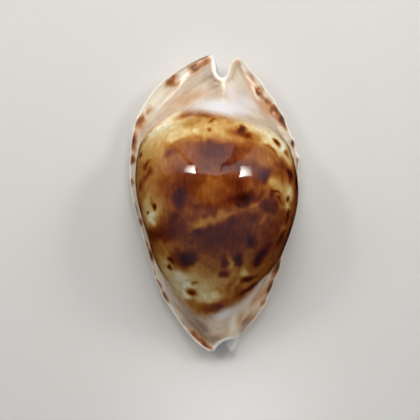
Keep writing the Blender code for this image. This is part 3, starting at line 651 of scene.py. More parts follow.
def wander(points, waves, seed):
    """The points shifted by smooth noise in waves of each size, so that what is drawn on them gets uneven
    edges."""
    moved = points.copy()
    for i, (size, reach) in enumerate(waves):
        first = seed + SEED_STEP * i
        moved += reach * np.column_stack([soft_noise(points, size, first + k) for k in range(3)])
    return moved


class Skin:
    """The shell's grid, its normals and the fields painted on it."""

    def __init__(self, spacing):
        self.grid = grown_grid(spacing)
        self.rows, self.columns = self.grid.shape[:2]
        self.label = np.tile(np.repeat(np.arange(len(STEPS)), list(STEPS.values())), (self.rows, 1))
        self.margin = self.borders("left flange", "right flange")
        self.creases = self.borders("dome", "dome")
        self.fields = {}

    def borders(self, first, last):
        """The points of the first column of one stretch and of the column after another."""
        return np.concatenate([self.grid[:, span_of(first)[0]], self.grid[:, span_of(last)[1]]])

    def is_on(self, *names):
        """True for the points of the named stretches."""
        wanted = [list(STEPS).index(name) for name in names]
        return np.isin(self.label, wanted).ravel()

    def points(self):
        """All points, one a row."""
        return self.grid.reshape(-1, 3)

    def normals(self):
        """The normals of all points, one a row."""
        return grid_normals(self.grid).reshape(-1, 3)


def bead(distance, shape):
    """The height of a bead or a groove at a distance from the line that it follows."""
    middle, height, half = shape
    return height * np.exp(-((distance - middle) / half) ** 2)


def notch_distance(points, step):
    """Distance seen from above from each point to the nearer notch."""
    distance = np.full(len(points), FAR)
    for outline in (POSTERIOR_NOTCH, ANTERIOR_NOTCH):
        distance = np.minimum(distance, plan_distance(points, spline(outline, step)))
    return distance


def add_relief(skin):
    """Raises the rims and the keel and presses in the dents of the upper side, nowhere deep enough to break
    through a thin wall."""
    points, normals = skin.points().copy(), skin.normals()
    upper = skin.is_on("left flange", "dome", "right flange")
    edge = nearest(points, skin.margin)[0]
    notch = notch_distance(points, NOTCH_STEP)
    width, depth = NOTCH_SHOULDER
    lift = bead(edge, MARGIN_BEAD) + bead(edge, MARGIN_GROOVE)
    lift += bead(notch, NOTCH_BEAD) - depth * np.clip(1 - notch / width, 0, 1) ** 2
    for x, y, half, height in DENTS:
        gap = (points[:, 0] - x) ** 2 + (points[:, 1] - y) ** 2
        lift += height * np.exp(-gap / half ** 2)
    (start_x, start_y), (end_x, end_y) = KEEL
    share = np.clip((points[:, 1] - start_y) / (end_y - start_y), 0, 1)
    off = points[:, 0] - (start_x + (end_x - start_x) * share)
    foot, full = KEEL_RISE
    rise = smoothstep(start_y + foot, start_y + full, points[:, 1])
    lift += KEEL_HEIGHT * rise * np.exp(-(off / KEEL_HALF_WIDTH) ** 2)
    inner = points[skin.is_on("whorl", "right floor", "roof", "left floor")]
    wall = np.zeros(len(points))
    wall[upper] = nearest(points[upper], inner)[0]
    lift = np.maximum(lift, -THINNING * wall) * upper
    least, whole = RELIEF_FADE
    lift *= smoothstep(HALF_LENGTH - least, HALF_LENGTH - whole, np.abs(points[:, 1]))
    normals[:, 1] = 0
    skin.grid = (points + normals * lift[:, None]).reshape(skin.grid.shape)
    skin.fields["edge"] = edge
    narrow = NARROW_RIM * smoothstep(*NARROW_ACROSS, points[:, 0]) * (points[:, 1] > 0)
    skin.fields["notch"] = np.where(upper, notch + narrow, FAR)


def mark_mask(points, normals, upper, mark, softness):
    """How much of each point a mark covers, 1 in its middle. The mark has the given shape seen from above,
    and on steep ground it is stretched down the slope by no more than its steepest share allows."""
    x, y, half_length, half_width, turn = mark
    plan = (points[:, 0] - x) ** 2 + (points[:, 1] - y) ** 2 + np.where(upper, 0, FAR ** 2)
    middle = int(np.argmin(plan))
    normal = normals[middle]
    off = points - points[middle]
    steep = np.hypot(normal[0], normal[1])
    downhill = np.array([normal[0], normal[1]]) / max(steep, LEAST_LEVEL)
    slope = np.array([downhill[0] * normal[2], downhill[1] * normal[2], -steep])
    level = np.array([-downhill[1], downhill[0], 0])
    run = (off @ slope) * max(normal[2], STEEPEST)
    side = off @ level
    plan_x = run * downhill[0] - side * downhill[1]
    plan_y = run * downhill[1] + side * downhill[0]
    turn = math.radians(turn)
    long = (plan_x * math.cos(turn) + plan_y * math.sin(turn)) / half_length
    wide = (plan_y * math.cos(turn) - plan_x * math.sin(turn)) / half_width
    reach = np.sqrt(long ** 2 + wide ** 2)
    fixed, share = MARK_DEPTH
    depth = np.abs(off @ normal) / (fixed + share * max(half_length, half_width))
    return smoothstep(1 + softness, 1 - softness, reach) * smoothstep(*DEPTH_FADE, depth)


def spread(skin, chosen, values, rest):
    """Values of some points as a field on all of them, with one value for the rest."""
    full = np.full(skin.rows * skin.columns, float(rest))
    full[chosen] = values
    return full


def paint_back(skin):
    """The tone and the violet of the dome, painted layer by layer, from the marks to the flanks' blotches."""
    dome = skin.is_on("dome")
    points, normals = skin.points()[dome], skin.normals()[dome]
    wandered = wander(points, MARK_WANDER, SEEDS["back"])
    waves, reach = DRIPS
    wandered[:, 1] += reach * soft_noise(points, np.array(waves), SEEDS["drips"])
    tone = np.full(len(points), GROUND_TONE)
    violet = np.zeros(len(points))
    upper = normals[:, 2] > UPWARD
    for layer, softness in DOME_LAYERS:
        for *shape, mark_tone, mark_violet, strength in layer:
            mask = strength * mark_mask(wandered, normals, upper, shape, softness)
            tone += (mark_tone - tone) * mask
            violet += (mark_violet - violet) * mask
    flank = smoothstep(*FLANK_SLOPE, normals[:, 2])
    turned = wandered @ np.array(Euler(FLANK_TURN).to_matrix())
    echo_size, echo_strength = FLANK_ECHO
    for size, seed, taken in FLANK_BLOTCHES:
        shape = soft_noise(turned, size, seed)
        shape += echo_strength * soft_noise(turned, echo_size * size, seed + 1)
        blotch = smoothstep(*BLOTCH_EDGE, shape) * flank
        tone -= taken * blotch
        violet += (FLANK_VIOLET - violet) * blotch
    skin.fields["tone"] = spread(skin, dome, tone, GROUND_TONE)
    skin.fields["violet"] = spread(skin, dome, violet, 0)


def bound_the_pigment(skin):
    """The distance from the pigment's border, below 0 inside it. On the flanks it leans and waves, and the
    pigment keeps clear of the creases."""
    points, normals = skin.points(), skin.normals()
    loop = spline(PIGMENT_EDGE + PIGMENT_EDGE[:1], PIGMENT_STEP)
    top, lean = BORDER_LEAN
    size, reach = BORDER_WAVES
    moved = points.copy()
    outward = lean * np.maximum(top - points[:, 2], 0) + reach * soft_noise(points, size, SEEDS["border"])
    moved[:, 1] += np.sign(points[:, 1]) * outward * smoothstep(*BORDER_SLOPE, normals[:, 2])
    plan = plan_distance(moved, loop)
    callus = np.where(within(moved, loop), -plan, plan)
    callus = np.maximum(callus, CREASE_BAND - nearest(points, skin.creases)[0])
    callus = np.where(skin.is_on("dome"), callus, CALLUS_LIMIT)
    skin.fields["callus"] = np.clip(callus, -CALLUS_LIMIT, CALLUS_LIMIT)


def paint_margins(skin):
    """The spots round the margins, and the warm, cool, shaded and pale tints of the flange and the ends."""
    points, normals = skin.points(), skin.normals()
    upper_side = ("left flange", "dome", "right flange")
    under_side = ("left base", "right base")
    outside = skin.is_on("left edge", "right edge", *upper_side, *under_side)
    wandered = wander(points, MARK_WANDER[1:], SEEDS["margins"])
    margin = skin.margin
    tangent = np.gradient(margin.reshape(2, -1, 3), axis=1).reshape(-1, 3)
    tangent /= np.linalg.norm(tangent, axis=1, keepdims=True)
    spots = np.zeros(len(points))
    for x, y, half_length, half_width, strength in MARGIN_SPOTS:
        near = int(np.argmin((margin[:, 0] - x) ** 2 + (margin[:, 1] - y) ** 2))
        centre = np.array([x, y, margin[near, 2]])
        off = wandered - centre
        long = off @ tangent[near]
        wide = np.linalg.norm(off - long[:, None] * tangent[near], axis=1)
        reach = np.hypot(long / half_length, wide / half_width)
        spots = np.maximum(spots, strength * smoothstep(1 + SPOT_SOFTNESS, 1 - SPOT_SOFTNESS, reach))
    skin.fields["spot"] = spots * outside
    upper = skin.is_on(*upper_side) & (normals[:, 2] > UPWARD)
    for name, tints in TINTS.items():
        total = np.zeros(len(points))
        for *shape, strength in tints:
            mask = strength * mark_mask(wandered, normals, upper, shape, SPOT_SOFTNESS)
            total += mask * (1 - total)
        skin.fields[name] = total * outside
    inner = skin.is_on("right lip", "whorl", "right floor", "roof", "left floor", "left lip")
    skin.fields["inside"] = inner.astype(float)
    skin.fields["under"] = skin.is_on(*under_side).astype(float)


def mesh_from(skin, name):
    """A closed mesh in metres from the grid, with a face on each end."""
    points = skin.points() * MM
    rows, columns = skin.rows, skin.columns
    index = np.arange(rows * columns).reshape(rows, columns)
    quads = np.stack([index[:-1], np.roll(index[:-1], -1, 1), np.roll(index[1:], -1, 1), index[1:]], 2)
    faces = quads.reshape(-1, 4).tolist() + [index[0, ::-1].tolist(), index[-1].tolist()]
    mesh = bpy.data.meshes.new(name)
    mesh.from_pydata(points.tolist(), [], faces)
    mesh.update()
    return mesh


def notch_cutter(name, outline, sill):
    """A prism on a notch's smooth plan outline, with levels close enough for a rounded rim."""
    line = [tuple(p) for p in spline(outline, NOTCH_STEP)]
    end = math.copysign(NOTCH_END, line[-1][1])
    plan = line + [(line[-1][0], end), (line[0][0], end)]
    levels = np.linspace(sill, NOTCH_TOP, int((NOTCH_TOP - sill) / NOTCH_LEVELS) + 1)
    bm = bmesh.new()
    rings = [[bm.verts.new((x * MM, y * MM, z * MM)) for x, y in plan] for z in levels]
    for low, high in zip(rings, rings[1:]):
        for i in range(len(plan)):
            j = (i + 1) % len(plan)
            bm.faces.new((low[i], low[j], high[j], high[i]))
    bm.faces.new(rings[0][::-1])
    bm.faces.new(rings[-1])
    bmesh.ops.recalc_face_normals(bm, faces=bm.faces[:])
    mesh = bpy.data.meshes.new(name)
    bm.to_mesh(mesh)
    bm.free()
    cutter = bpy.data.objects.new(name, mesh)
    bpy.context.scene.collection.objects.link(cutter)
    return cutter


def cut_notches(shell):
    """Cuts both notches out of the skin and returns the cut mesh."""
    cutters = []
    for name, outline, sill in (("posterior_notch", POSTERIOR_NOTCH, POSTERIOR_SILL),
                                ("anterior_notch", ANTERIOR_NOTCH, ANTERIOR_SILL)):
        cutters.append(notch_cutter(name, outline, sill))
        cut = shell.modifiers.new(name, "BOOLEAN")
        cut.operation = "DIFFERENCE"
        cut.solver = "EXACT"
        cut.object = cutters[-1]
    bpy.context.view_layer.update()
    evaluated = shell.evaluated_get(bpy.context.evaluated_depsgraph_get())
    mesh = bpy.data.meshes.new_from_object(evaluated)
    shell.modifiers.clear()
    for cutter in cutters:
        bpy.data.objects.remove(cutter, do_unlink=True)
    if not mesh.polygons:
        raise RuntimeError("the cutters left nothing of the shell")
    return mesh


def mesh_points(mesh):
    """The vertices of a mesh in millimetres, one a row."""
    flat = np.zeros(len(mesh.vertices) * 3)
    mesh.vertices.foreach_get("co", flat)
    return flat.reshape(-1, 3) / MM


def round_the_cuts(mesh, passes):
    """Softens the corner that the cutters leave along the rims of the notches."""
    points = mesh_points(mesh)
    weight = CUT_SOFTENING * smoothstep(*CUT_REACH, notch_distance(points, CUT_STEP))
    edges = np.zeros(len(mesh.edges) * 2, int)
    mesh.edges.foreach_get("vertices", edges)
    a, b = edges.reshape(-1, 2).T
    for _ in range(passes):
        total = np.zeros_like(points)
        count = np.zeros(len(points))
        np.add.at(total, a, points[b])
        np.add.at(total, b, points[a])
        np.add.at(count, a, 1)
        np.add.at(count, b, 1)
        points += weight[:, None] * (total / count[:, None] - points)
    mesh.vertices.foreach_set("co", (points * MM).ravel())
    mesh.update()


def carry_fields(skin, mesh):
    """Copies the painted fields to the cut mesh, each vertex from the nearest point of the grid."""
    distance, index = nearest(mesh_points(mesh), skin.points())
    fields = {name: values[index] for name, values in skin.fields.items()}
    fields["notch"] = np.where(distance > CUT_GAP, 0, fields["notch"])
    for name, values in fields.items():
        layer = mesh.attributes.new(name, "FLOAT", "POINT")
        layer.data.foreach_set("value", values.astype(np.float32))


def linear(colour):
    """An sRGB colour, from 0 to 255, in linear light with its alpha."""
    share = np.array(colour, float) / 255
    return (*np.where(share > 0.04045, ((share + 0.055) / 1.055) ** 2.4, share / 12.92), 1.0)


class Nodes:
    """Adds nodes to a tree and links them."""

    def __init__(self, tree):
        self.tree = tree

    def feed(self, node, inputs):
        """Links the inputs of a node to sockets, or sets them to values."""
        for name, value in inputs.items():
            if isinstance(value, bpy.types.NodeSocket):
                self.tree.links.new(value, node.inputs[name])
            else:
                node.inputs[name].default_value = value
        return node

    def add(self, kind, inputs=None, **settings):
        """A new node with its inputs fed and its settings made."""
        node = self.tree.nodes.new(kind)
        for name, value in settings.items():
            setattr(node, name, value)
        return self.feed(node, inputs or {})

    def field(self, name):
        """A field that is painted on the mesh."""
        return self.add("ShaderNodeAttribute", attribute_name=name).outputs["Fac"]

    def math(self, operation, a, b=0.0, c=0.0):
        """The result of a sum with up to three values."""
        return self.add("ShaderNodeMath", {0: a, 1: b, 2: c}, operation=operation).outputs[0]

    def span(self, value, limits):
        """A value mapped smoothly from one range to another, which is 0 to 1 unless the limits name it."""
        low, high, to_low, to_high = (*limits, 0.0, 1.0)[:4]
        node = self.add("ShaderNodeMapRange", {0: value, 1: low, 2: high, 3: to_low, 4: to_high},
                        interpolation_type="SMOOTHSTEP")
        return node.outputs[0]

    def swing(self, noise, reach, value):
        """A value moved up and down by a noise."""
        return self.math("MULTIPLY_ADD", self.math("SUBTRACT", noise, 0.5), reach, value)

    def mix(self, factor, a, b):
        """A mix of two colours."""
        return self.add("ShaderNodeMix", {0: factor, 6: a, 7: b}, data_type="RGBA").outputs[2]

    def noise(self, place, scale, detail):
        """Fractal noise in waves of one size."""
        inputs = {"Vector": place, "Scale": scale, "Detail": detail, "Roughness": NOISE_ROUGHNESS}
        return self.add("ShaderNodeTexNoise", inputs).outputs["Fac"]

    def stretched(self, place, scale):
        """Places scaled differently along each axis."""
        return self.add("ShaderNodeMapping", {"Vector": place, "Scale": scale}).outputs["Vector"]

    def ramp(self, factor, stops):
        """A colour from stops of (position, colour from 0 to 255)."""
        node = self.add("ShaderNodeValToRGB", {0: factor})
        elements = node.color_ramp.elements
        elements.remove(elements[1])
        elements[0].position = stops[0][0]
        elements[0].color = linear(stops[0][1])
        for position, colour in stops[1:]:
            elements.new(position).color = linear(colour)
        return node.outputs["Color"]

    def relief(self, layers):
        """A normal bent by layers of (height, strength, depth in metres), one on the other."""
        below = {}
        for height, strength, depth in layers:
            inputs = {"Height": height, "Strength": strength, "Distance": depth, **below}
            below = {"Normal": self.add("ShaderNodeBump", inputs).outputs[0]}
        return below["Normal"]


# Colours of the back by tone, and those that a violet marking is mixed with, up to a share.
TONES = ((0.0, (28, 6, 6)), (0.10, (58, 17, 8)), (0.22, (94, 34, 11)), (0.34, (126, 58, 19)),
         (0.45, (152, 86, 33)), (0.58, (180, 124, 60)), (0.72, (206, 164, 98)), (0.86, (228, 204, 148)),
         (1.0, (254, 250, 228)))
VIOLET_TONES = ((0.0, (40, 20, 40)), (0.3, (96, 46, 44)), (0.6, (180, 124, 60)))
VIOLET_SHARE = 0.8
# Colours of the margins, the ends, the base and the inside.
# The shade colour also serves as painted shade, and the cool and rim colours partly as painted light.
COLOURS = {"callus": (204, 182, 158), "callus_light": (222, 204, 180), "orange": (204, 142, 84),
           "brown": (116, 70, 50), "cool": (232, 232, 240), "shade": (146, 118, 94), "pale": (252, 246, 228),
           "rim": (250, 246, 238), "spot": (198, 136, 84), "spot_dark": (88, 46, 30),
           "base": (240, 228, 208), "inside": (244, 244, 250)}

# Noises, as (waves a metre, levels of detail). The fibres' waves differ across, along and up the shell.
NOISES = {"fine": (2600, 3), "medium": (620, 4), "broad": (260, 3)}
NOISE_ROUGHNESS = 0.55
FIBRES = (1500, 260, 800)
FIBRE_DETAIL = 4
# Growth lines: slow waves a metre in any direction, and quick ones a millimetre away from the margin.
SLOW_GROWTH = (110, 110, 110)
QUICK_GROWTH = 1.5
GROWTH_DETAIL = 3
# How far each noise moves the tone of the back.
MOTTLE = (("medium", 0.24), ("fine", 0.05), ("fibres", 0.20))
# How far noise moves the distance from the margin, the strength of a spot and the pigment's border.
MARGIN_SWING = 2.4
SPOT_SWING = 0.4
BORDER_SWING = 1.0
# Smooth spans of the material: the range of what goes in (a noise, a field, or a distance in millimetres, but
# in metres along the shell), and what comes out at its two ends, if that isn't 0 and 1.
SPANS = {
    "light patches": (0.35, 0.65), "pale margin": (2.2, 0.4, 0.0, 0.8),
    "tint streaks": (0.3, 0.6, 0.55, 1.0), "dark lines": (0.5, 0.8, 0.0, 0.16),
    "pale lines": (0.5, 0.2, 0.0, 0.2), "pale veil": (2.2, 0.4, 0.0, 0.2), "notch rim": (0.95, 0.35),
    "spot's middle": (0.35, 0.95), "spot": (0.06, 0.6), "margin's rim": (0.4, 0.1, 0.0, 0.85),
    "base": (1.0, 5.0), "border's width": (0.010, 0.017, 0.3, 0.9), "border": (-1.0, 1.0),
    "polish": (0.3, 0.7, 0.85, 1.15), "wrinkled": (0.1, 0.6),
}
# Strength and depth in metres of the finest relief.
RIPPLE = (0.25, 0.00004)
WRINKLE = (0.7, 0.0003)
GRAIN = (0.15, 0.00003)
SHELL_IOR = 1.65
# The thin white rims let light through: its share, how far each colour goes, and the scale of that in
# metres.
THIN_SHARE = 0.7
THIN_RADIUS = (1.0, 0.95, 0.9)
THIN_SCALE = 0.0015


def growth_lines(nodes, place, edge):
    """Lines along the margin: quick waves in the distance from it and slow ones along the shell."""
    slow = nodes.stretched(place, SLOW_GROWTH)
    quick = nodes.add("ShaderNodeCombineXYZ", {"X": nodes.math("MULTIPLY", edge, QUICK_GROWTH)}).outputs[0]
    lines = nodes.add("ShaderNodeVectorMath", {0: slow, 1: quick}, operation="ADD").outputs[0]
    return nodes.noise(lines, 1, GROWTH_DETAIL)


def back_colour(nodes, noises):
    """The mottled back: its painted tone and violet, moved by noise."""
    tone = nodes.field("tone")
    for name, reach in MOTTLE:
        tone = nodes.swing(noises[name], reach, tone)
    violet = nodes.math("MULTIPLY", nodes.field("violet"), VIOLET_SHARE)
    return nodes.mix(violet, nodes.ramp(tone, TONES), nodes.ramp(tone, VIOLET_TONES))


def margin_colour(nodes, noises, edge, striae, notch, spot):
    """The margins, ends and base: a peach callus, paler at the margin, with tints, lines, rims and spots."""
    colours = {name: linear(colour) for name, colour in COLOURS.items()}
    patches = nodes.span(noises["broad"], SPANS["light patches"])
    skin = nodes.mix(patches, colours["callus"], colours["callus_light"])
    uneven = nodes.swing(noises["broad"], MARGIN_SWING, edge)
    streaks = nodes.span(striae, SPANS["tint streaks"])
    layers = [("pale", nodes.span(uneven, SPANS["pale margin"]))]
    # Among the tints the shade one is partly painted shade, and the cool one partly painted light on the
    # front tab.
    layers += [(name, nodes.math("MULTIPLY", nodes.field(name), streaks)) for name in TINTS]
    layers += [("shade", nodes.span(striae, SPANS["dark lines"])),
               ("pale", nodes.span(striae, SPANS["pale lines"])),
               ("pale", nodes.span(uneven, SPANS["pale veil"])),
               # The notches' white rims: their own white, partly painted light for the glow through the thin
               # shell.
               ("rim", notch)]
    for name, share in layers:
        skin = nodes.mix(share, skin, colours[name])
    spot_colour = nodes.mix(nodes.span(spot, SPANS["spot's middle"]), colours["spot"], colours["spot_dark"])
    skin = nodes.mix(nodes.span(spot, SPANS["spot"]), skin, spot_colour)
    # A thin white line along the margin's edge: partly its own white, partly a painted highlight.
    skin = nodes.mix(nodes.span(edge, SPANS["margin's rim"]), skin, colours["rim"])
    base = nodes.mix(nodes.span(edge, SPANS["base"]), skin, colours["base"])
    return nodes.mix(nodes.field("under"), skin, base)


def shell_material(back_roughness, callus_roughness):
    """Glossy shell: mottled back, peach callus with flushes and streaks, spotted margins, white inside."""
    material = bpy.data.materials.new("shell")
    material.use_nodes = True
    nodes = Nodes(material.node_tree)
    place = nodes.add("ShaderNodeTexCoord").outputs["Object"]
    noises = {name: nodes.noise(place, scale, detail) for name, (scale, detail) in NOISES.items()}
    noises["fibres"] = nodes.noise(nodes.stretched(place, FIBRES), 1, FIBRE_DETAIL)
    edge = nodes.field("edge")
    striae = growth_lines(nodes, place, edge)
    notch = nodes.span(nodes.field("notch"), SPANS["notch rim"])
    spot = nodes.swing(noises["medium"], SPOT_SWING, nodes.field("spot"))
    skin = margin_colour(nodes, noises, edge, striae, notch, spot)

    # The pigment ends sharply in the creases and fades out towards the two ends.
    along = nodes.math("ABSOLUTE", nodes.add("ShaderNodeSeparateXYZ", {"Vector": place}).outputs["Y"])
    border = nodes.swing(noises["medium"], BORDER_SWING, nodes.field("callus"))
    border = nodes.math("DIVIDE", border, nodes.span(along, SPANS["border's width"]))
    bare = nodes.span(border, SPANS["border"])
    colour = nodes.mix(bare, back_colour(nodes, noises), skin)
    inside = nodes.field("inside")
    colour = nodes.mix(inside, colour, linear(COLOURS["inside"]))

    roughness = nodes.math("MULTIPLY_ADD", bare, callus_roughness - back_roughness, back_roughness)
    roughness = nodes.math("MULTIPLY", roughness, nodes.span(noises["fine"], SPANS["polish"]))
    thin = nodes.math("MULTIPLY", nodes.math("MAXIMUM", notch, inside), THIN_SHARE)
    wrinkles = nodes.math("MULTIPLY", noises["medium"], nodes.span(spot, SPANS["wrinkled"]))
    normal = nodes.relief(((striae, *RIPPLE), (wrinkles, *WRINKLE), (noises["medium"], *GRAIN)))
    nodes.feed(material.node_tree.nodes["Principled BSDF"], {
        "Base Color": colour, "Roughness": roughness, "IOR": SHELL_IOR, "Subsurface Weight": thin,
        "Subsurface Radius": THIN_RADIUS, "Subsurface Scale": THIN_SCALE, "Normal": normal})
    return material


class CowrieShell(bpy.types.PropertyGroup):
    """Sizes and finish of the shell's skin."""

    spacing: bpy.props.FloatProperty(
        name="Section spacing", description="Distance between two sections of the skin, in millimetres",
        default=0.205, min=0.15, max=1.0)
    passes: bpy.props.IntProperty(
        name="Rim softening", description="How many times the corners of the notches are softened",
        default=6, min=0, max=30)
    back_roughness: bpy.props.FloatProperty(
        name="Roughness of the back", description="Roughness of the polished, coloured back",
        default=0.06, min=0.0, max=1.0, subtype="FACTOR")
    callus_roughness: bpy.props.FloatProperty(
        name="Roughness of the callus", description="Roughness of the margins and the two ends",
        default=0.24, min=0.0, max=1.0, subtype="FACTOR")


class CowrieStage(bpy.types.PropertyGroup):
    """Floor, lights and camera."""

    floor_colour: bpy.props.FloatVectorProperty(
        name="Floor colour", description="Colour of the plain floor",
        default=(0.76, 0.75, 0.73), size=3, min=0.0, max=1.0, subtype="COLOR")
    floor_radius: bpy.props.FloatProperty(
        name="Floor radius", description="Distance at which the floor has faded into the backdrop",
        default=0.5, min=0.1, unit="LENGTH")
    backdrop: bpy.props.FloatProperty(
        name="Backdrop", description="Brightness of the plain backdrop",
        default=0.75, min=0.0)
    front_light: bpy.props.FloatProperty(
        name="Front light", description="Light from all round the anterior end",
        default=0.17, min=0.0)
    rear_light: bpy.props.FloatProperty(
        name="Rear light", description="Light from behind the panels",
        default=0.08, min=0.0)
    panel_strength: bpy.props.FloatProperty(
        name="Panels", description="Radiance of the soft panels, before it falls off towards the floor",
        default=1.5, min=0.0)
    lamp_inner: bpy.props.FloatProperty(
        name="Lamps, inner side", description="Radiance of the lamps at their inner side",
        default=24.0, min=0.0)
    lamp_outer: bpy.props.FloatProperty(
        name="Lamps, outer side", description="Radiance of the lamps at their outer side",
        default=2.5, min=0.0)
    panel_distance: bpy.props.FloatProperty(
        name="Panel distance", description="Distance from the shell to the panels",
        default=0.5, min=0.2, unit="LENGTH")
    camera_height: bpy.props.FloatProperty(
        name="Camera height", description="Height of the camera above the floor",
        default=0.555, min=0.1, unit="LENGTH")
    picture_width: bpy.props.FloatProperty(
        name="Picture width", description="Width that the picture takes in at the level of the margins",
        default=0.0851, min=0.01, unit="LENGTH")


class COWRIE_OT_shell(bpy.types.Operator):
    """Grow the shell's skin, cut its notches and paint its markings"""

    bl_idname = "cowrie.shell"
    bl_label = "Grow shell"

    def execute(self, context):
        settings = context.scene.cowrie_shell
        skin = Skin(settings.spacing)
        add_relief(skin)
        paint_back(skin)
        bound_the_pigment(skin)
        paint_margins(skin)
        shell = bpy.data.objects.new("cowrie_shell", mesh_from(skin, "cowrie_shell"))
        context.scene.collection.objects.link(shell)
        shell.data = cut_notches(shell)
        carry_fields(skin, shell.data)
        round_the_cuts(shell.data, settings.passes)
        shell.data.shade_smooth()
        shell.data.materials.clear()
        shell.data.materials.append(shell_material(settings.back_roughness, settings.callus_roughness))
        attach(shell, "root")
        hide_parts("shell")
        return {"FINISHED"}


# Luminous panels on a sphere round the shell. A soft panel is a list of its levels, each with its height and
# the bearings of its left and right edges in degrees, counted from the posterior end and positive to the
# right.
SOFT_PANELS = {
    "left": (
        (-12, -92, -41), (10, -90, -41.5), (25, -84, -43), (35, -78, -47), (42, -72, -47), (50, -63, -51),
        (55, -55, -54.5)),
    "middle": (
        (-12, -38, 19.5), (7, -38.5, 20), (21, -39.5, 21), (35, -42, 22.7), (42, -41, 21), (53, -43, 14.6),
        (57, -51, 14), (60, -47, 14), (65, -33, 13), (68, -25, 12), (70, -10, 8)),
    "right": (
        (-12, 30, 88), (5, 36, 88), (22, 36, 86), (31, 37, 80), (48, 30.7, 63), (55, 17, 54), (57, 15, 51),
        (60, 14.5, 46), (65, 13.5, 31), (67, 12.5, 24)),
}
# How far a soft panel fades from its left and right edges, as a share of its width.
PANEL_FADES = {"left": (0.55, 0), "middle": (0, 0), "right": (0, 0.5)}
# Their radiance against the height in degrees.
PANEL_GLOW = ((-12, 5, 20, 40, 60), (0.0, 0.26, 0.5, 0.62, 0.85))
# Their points across, and their steps from one level to the next.
PANEL_COLUMNS = 16
PANEL_ROWS = 5
# Their sides are ragged: each row is narrower by up to this many degrees a side.
RAGGED = 2.6
RAGGED_SEED = 5
# Lamps: (bearing, height) of their lower inner, lower outer, upper outer and upper inner corner.
LAMPS = {
    "left": ((-39.7, 47.2), (-55.0, 37.6), (-64.5, 41.2), (-54.8, 55.5)),
    "right": ((44.1, 41.7), (54.4, 30.0), (67.2, 35.3), (58.9, 52.8)),
}
# Their distance as a share of the panels'.
LAMP_SHARE = 0.96
LAMP_POINTS = 7
# What is left of a lamp's radiance along its lower side, and the share of its height where it is whole.
LAMP_FOOT = 0.3
LAMP_WHOLE = 0.6
GLOW_TINT = (1.0, 0.98, 0.95, 1.0)
# Fill lamps: name, bearing, height, distance, size in metres and power in watts. They look at the front end.
FILLS = (("front_card", 176, 48, 0.03, 0.015, 0.0018), ("top_fill", 0, 50, 0.42, 0.2, 0.75))
FRONT_END = (0.003, -0.028, 0.003)

# Light from all round, by direction. The hole overhead is an oval in plan: its middle lies this far to the
# right and it has these half sizes. Outwards the light comes back between these squares of its radius, and
# downwards between these heights.
HOLE_MIDDLE = 0.07
HOLE_ACROSS = 0.69
HOLE_ALONG = 0.37
HOLE_BORDER = (0.8, 1.2)
HOLE_HEIGHT = (0.6, 0.5)
# The light changes from the front's to the rear's, and rises from nothing below to its whole above.
FRONT_TO_REAR = (-0.25, 0.15)
BELOW_TO_ABOVE = (-0.45, 0.45)
SKY_TINT = (1.0, 0.985, 0.965, 1.0)

# The floor: its corners, the waves a metre and the detail of its faint clouds, their share of its brightness,
# and the shares of its radius between which it fades.
FLOOR_CORNERS = 96
CLOUDS = (40, 3)
CLOUD_SHARE = 0.96
FLOOR_ROUGHNESS = 0.9
FLOOR_FADE = (0.45, 0.98)

# The camera hangs over this place. Its lens takes in the picture's width at the level of the margins.
CAMERA_PLACE = (-0.00081, -0.00132)
MARGIN_LEVEL = 0.005
SENSOR_WIDTH = 36.0
CLIP_START = 0.01


def way(bearing, height):
    """The direction with a bearing from the posterior end and a height, in degrees."""
    turn, lift = math.radians(bearing), math.radians(height)
    return Vector((math.sin(turn) * math.cos(lift), math.cos(turn) * math.cos(lift), math.sin(lift)))


def add_panel(name, levels, radius, material):
    """A luminous panel that no camera sees: rows of directions pushed out to a sphere. A row is a list of
    (bearing, height, radiance)."""
    count = len(levels[0])
    bm = bmesh.new()
    glow = bm.verts.layers.float.new("radiance")
    for row in levels:
        for bearing, height, radiance in row:
            vertex = bm.verts.new(way(bearing, height) * radius)
            vertex[glow] = radiance
    bm.verts.ensure_lookup_table()
    for level in range(len(levels) - 1):
        for step in range(count - 1):
            first = level * count + step
            bm.faces.new([bm.verts[k] for k in (first, first + 1, first + count + 1, first + count)])
    bm.normal_update()
    if sum(face.normal.dot(face.calc_center_median()) for face in bm.faces) > 0:
        bmesh.ops.reverse_faces(bm, faces=bm.faces[:])
    mesh = bpy.data.meshes.new(name)
    bm.to_mesh(mesh)
    bm.free()
    mesh.materials.append(material)
    panel = bpy.data.objects.new(name, mesh)
    panel.visible_camera = False
    bpy.context.scene.collection.objects.link(panel)


def soft_rows(levels, strength, fades):
    """Rows of a soft panel, whose radiance rises with the height and falls off towards a faded side."""
    rows = []
    chance = np.random.default_rng(RAGGED_SEED)
    for (low, *low_edges), (high, *high_edges) in zip(levels, levels[1:]):
        for share in np.linspace(0, 1, PANEL_ROWS + 1)[:-1]:
            edges = np.array(low_edges) * (1 - share) + np.array(high_edges) * share
            edges += chance.uniform(0, RAGGED, 2) * (1, -1)
            rows.append((low * (1 - share) + high * share, *edges))
    rows.append(levels[-1])
    shares = np.linspace(0, 1, PANEL_COLUMNS)
    sides = np.ones(PANEL_COLUMNS)
    for fade, inward in zip(fades, (shares, 1 - shares)):
        if fade:
            sides *= smoothstep(0, fade, inward)
    result = []
    for height, left, right in rows:
        glow = float(np.interp(height, *PANEL_GLOW)) * strength
        result.append([(left + (right - left) * s, height, glow * b) for s, b in zip(shares, sides)])
    return result


def lamp_rows(corners, bright, dim):
    """Rows of a lamp, whose radiance falls from its inner side to its outer one and towards its foot."""
    inner_low, outer_low, outer_high, inner_high = (np.array(corner) for corner in corners)
    rows = []
    for up in np.linspace(0, 1, LAMP_POINTS):
        inner = inner_low + (inner_high - inner_low) * up
        outer = outer_low + (outer_high - outer_low) * up
        share = LAMP_FOOT + (1 - LAMP_FOOT) * float(smoothstep(0, LAMP_WHOLE, up))
        rows.append([(*(inner + (outer - inner) * s), share * (bright + (dim - bright) * s))
                     for s in np.linspace(0, 1, LAMP_POINTS)])
    return rows


